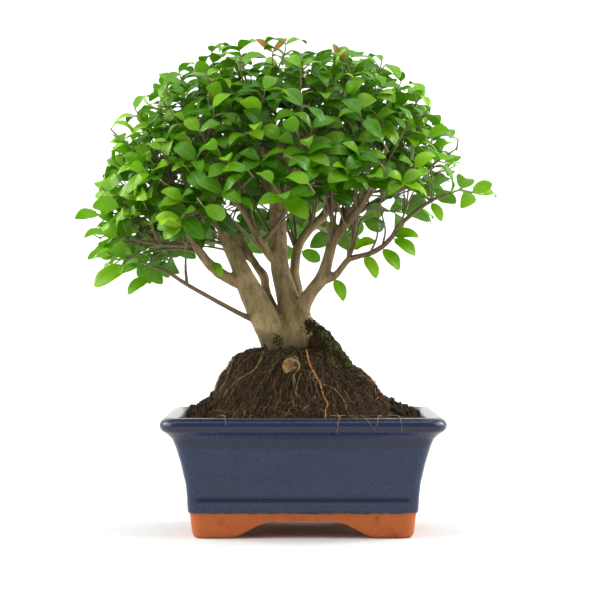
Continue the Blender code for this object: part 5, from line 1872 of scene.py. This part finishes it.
SETTINGS = {
    "bonsai_pot": PotLooks, "bonsai_soil": SoilLooks, "bonsai_wood": WoodLooks,
    "bonsai_leaves": LeafLooks, "bonsai_stage": StageLooks,
}


# Operators


class BONSAI_OT_pot(bpy.types.Operator):
    """Builds the glazed pot"""

    bl_idname = "bonsai.pot"
    bl_label = "Build the pot"

    def execute(self, context):
        build_pot(context.scene.bonsai_pot)
        return {"FINISHED"}


class BONSAI_OT_drain_screens(bpy.types.Operator):
    """Gives the drain screens their finish"""

    bl_idname = "bonsai.drain_screens"
    bl_label = "Finish the drain screens"

    def execute(self, context):
        finish = netting_material()
        for name in ("drain_screen_left", "drain_screen_right"):
            screen = frame["nodes"][name]
            screen.data.materials.clear()
            screen.data.materials.append(finish)
        return {"FINISHED"}


class BONSAI_OT_root_ball(bpy.types.Operator):
    """Builds the peat of the root ball and the crumbs on it"""

    bl_idname = "bonsai.root_ball"
    bl_label = "Build the root ball"

    def execute(self, context):
        build_root_ball(context.scene.bonsai_soil)
        return {"FINISHED"}


class BONSAI_OT_roots(bpy.types.Operator):
    """Builds the roots and fibres on the root ball, and the moss and peat on the foot of the trunk"""

    bl_idname = "bonsai.roots"
    bl_label = "Build the roots"

    def execute(self, context):
        build_roots(context.scene.bonsai_soil)
        return {"FINISHED"}


class BONSAI_OT_wood(bpy.types.Operator):
    """Builds the trunks, limbs, twigs and the sawn stub"""

    bl_idname = "bonsai.wood"
    bl_label = "Build the wood"

    def execute(self, context):
        build_wood(context.scene.bonsai_wood, context.scene.bonsai_leaves)
        return {"FINISHED"}


class BONSAI_OT_leaves(bpy.types.Operator):
    """Builds the leaves"""

    bl_idname = "bonsai.leaves"
    bl_label = "Build the leaves"

    def execute(self, context):
        build_leaves(context.scene.bonsai_leaves)
        return {"FINISHED"}


class BONSAI_OT_stage(bpy.types.Operator):
    """Builds the floor, the lights and the camera"""

    bl_idname = "bonsai.stage"
    bl_label = "Build the stage"

    def execute(self, context):
        build_stage(context.scene.bonsai_stage)
        return {"FINISHED"}


OPERATORS = (
    BONSAI_OT_pot, BONSAI_OT_drain_screens, BONSAI_OT_root_ball, BONSAI_OT_roots, BONSAI_OT_wood,
    BONSAI_OT_leaves, BONSAI_OT_stage,
)


class BONSAI_PT_panel(bpy.types.Panel):
    """Lists the steps and their settings"""

    bl_label = "Sweet plum bonsai"
    bl_idname = "BONSAI_PT_panel"
    bl_space_type = "VIEW_3D"
    bl_region_type = "UI"
    bl_category = "Bonsai"

    def draw(self, context):
        for operator in OPERATORS:
            self.layout.operator(operator.bl_idname)
        for attribute, group in SETTINGS.items():
            box = self.layout.box()
            box.label(text=group.__doc__)
            for name in group.__annotations__:
                box.prop(getattr(context.scene, attribute), name)


def register():
    """Registers the classes and hangs the settings on the scene."""
    for cls in (*SETTINGS.values(), *OPERATORS, BONSAI_PT_panel):
        bpy.utils.register_class(cls)
    for attribute, group in SETTINGS.items():
        setattr(bpy.types.Scene, attribute, bpy.props.PointerProperty(type=group))


def unregister():
    """Takes away what register adds."""
    for attribute in SETTINGS:
        delattr(bpy.types.Scene, attribute)
    for cls in reversed((*SETTINGS.values(), *OPERATORS, BONSAI_PT_panel)):
        bpy.utils.unregister_class(cls)


def main():
    """Builds the bonsai and its stage."""
    register()
    bpy.ops.bonsai.pot()
    bpy.ops.bonsai.drain_screens()
    bpy.ops.bonsai.root_ball()
    bpy.ops.bonsai.roots()
    bpy.ops.bonsai.wood()
    bpy.ops.bonsai.leaves()
    bpy.ops.bonsai.stage()


if __name__ == "__main__":
    main()
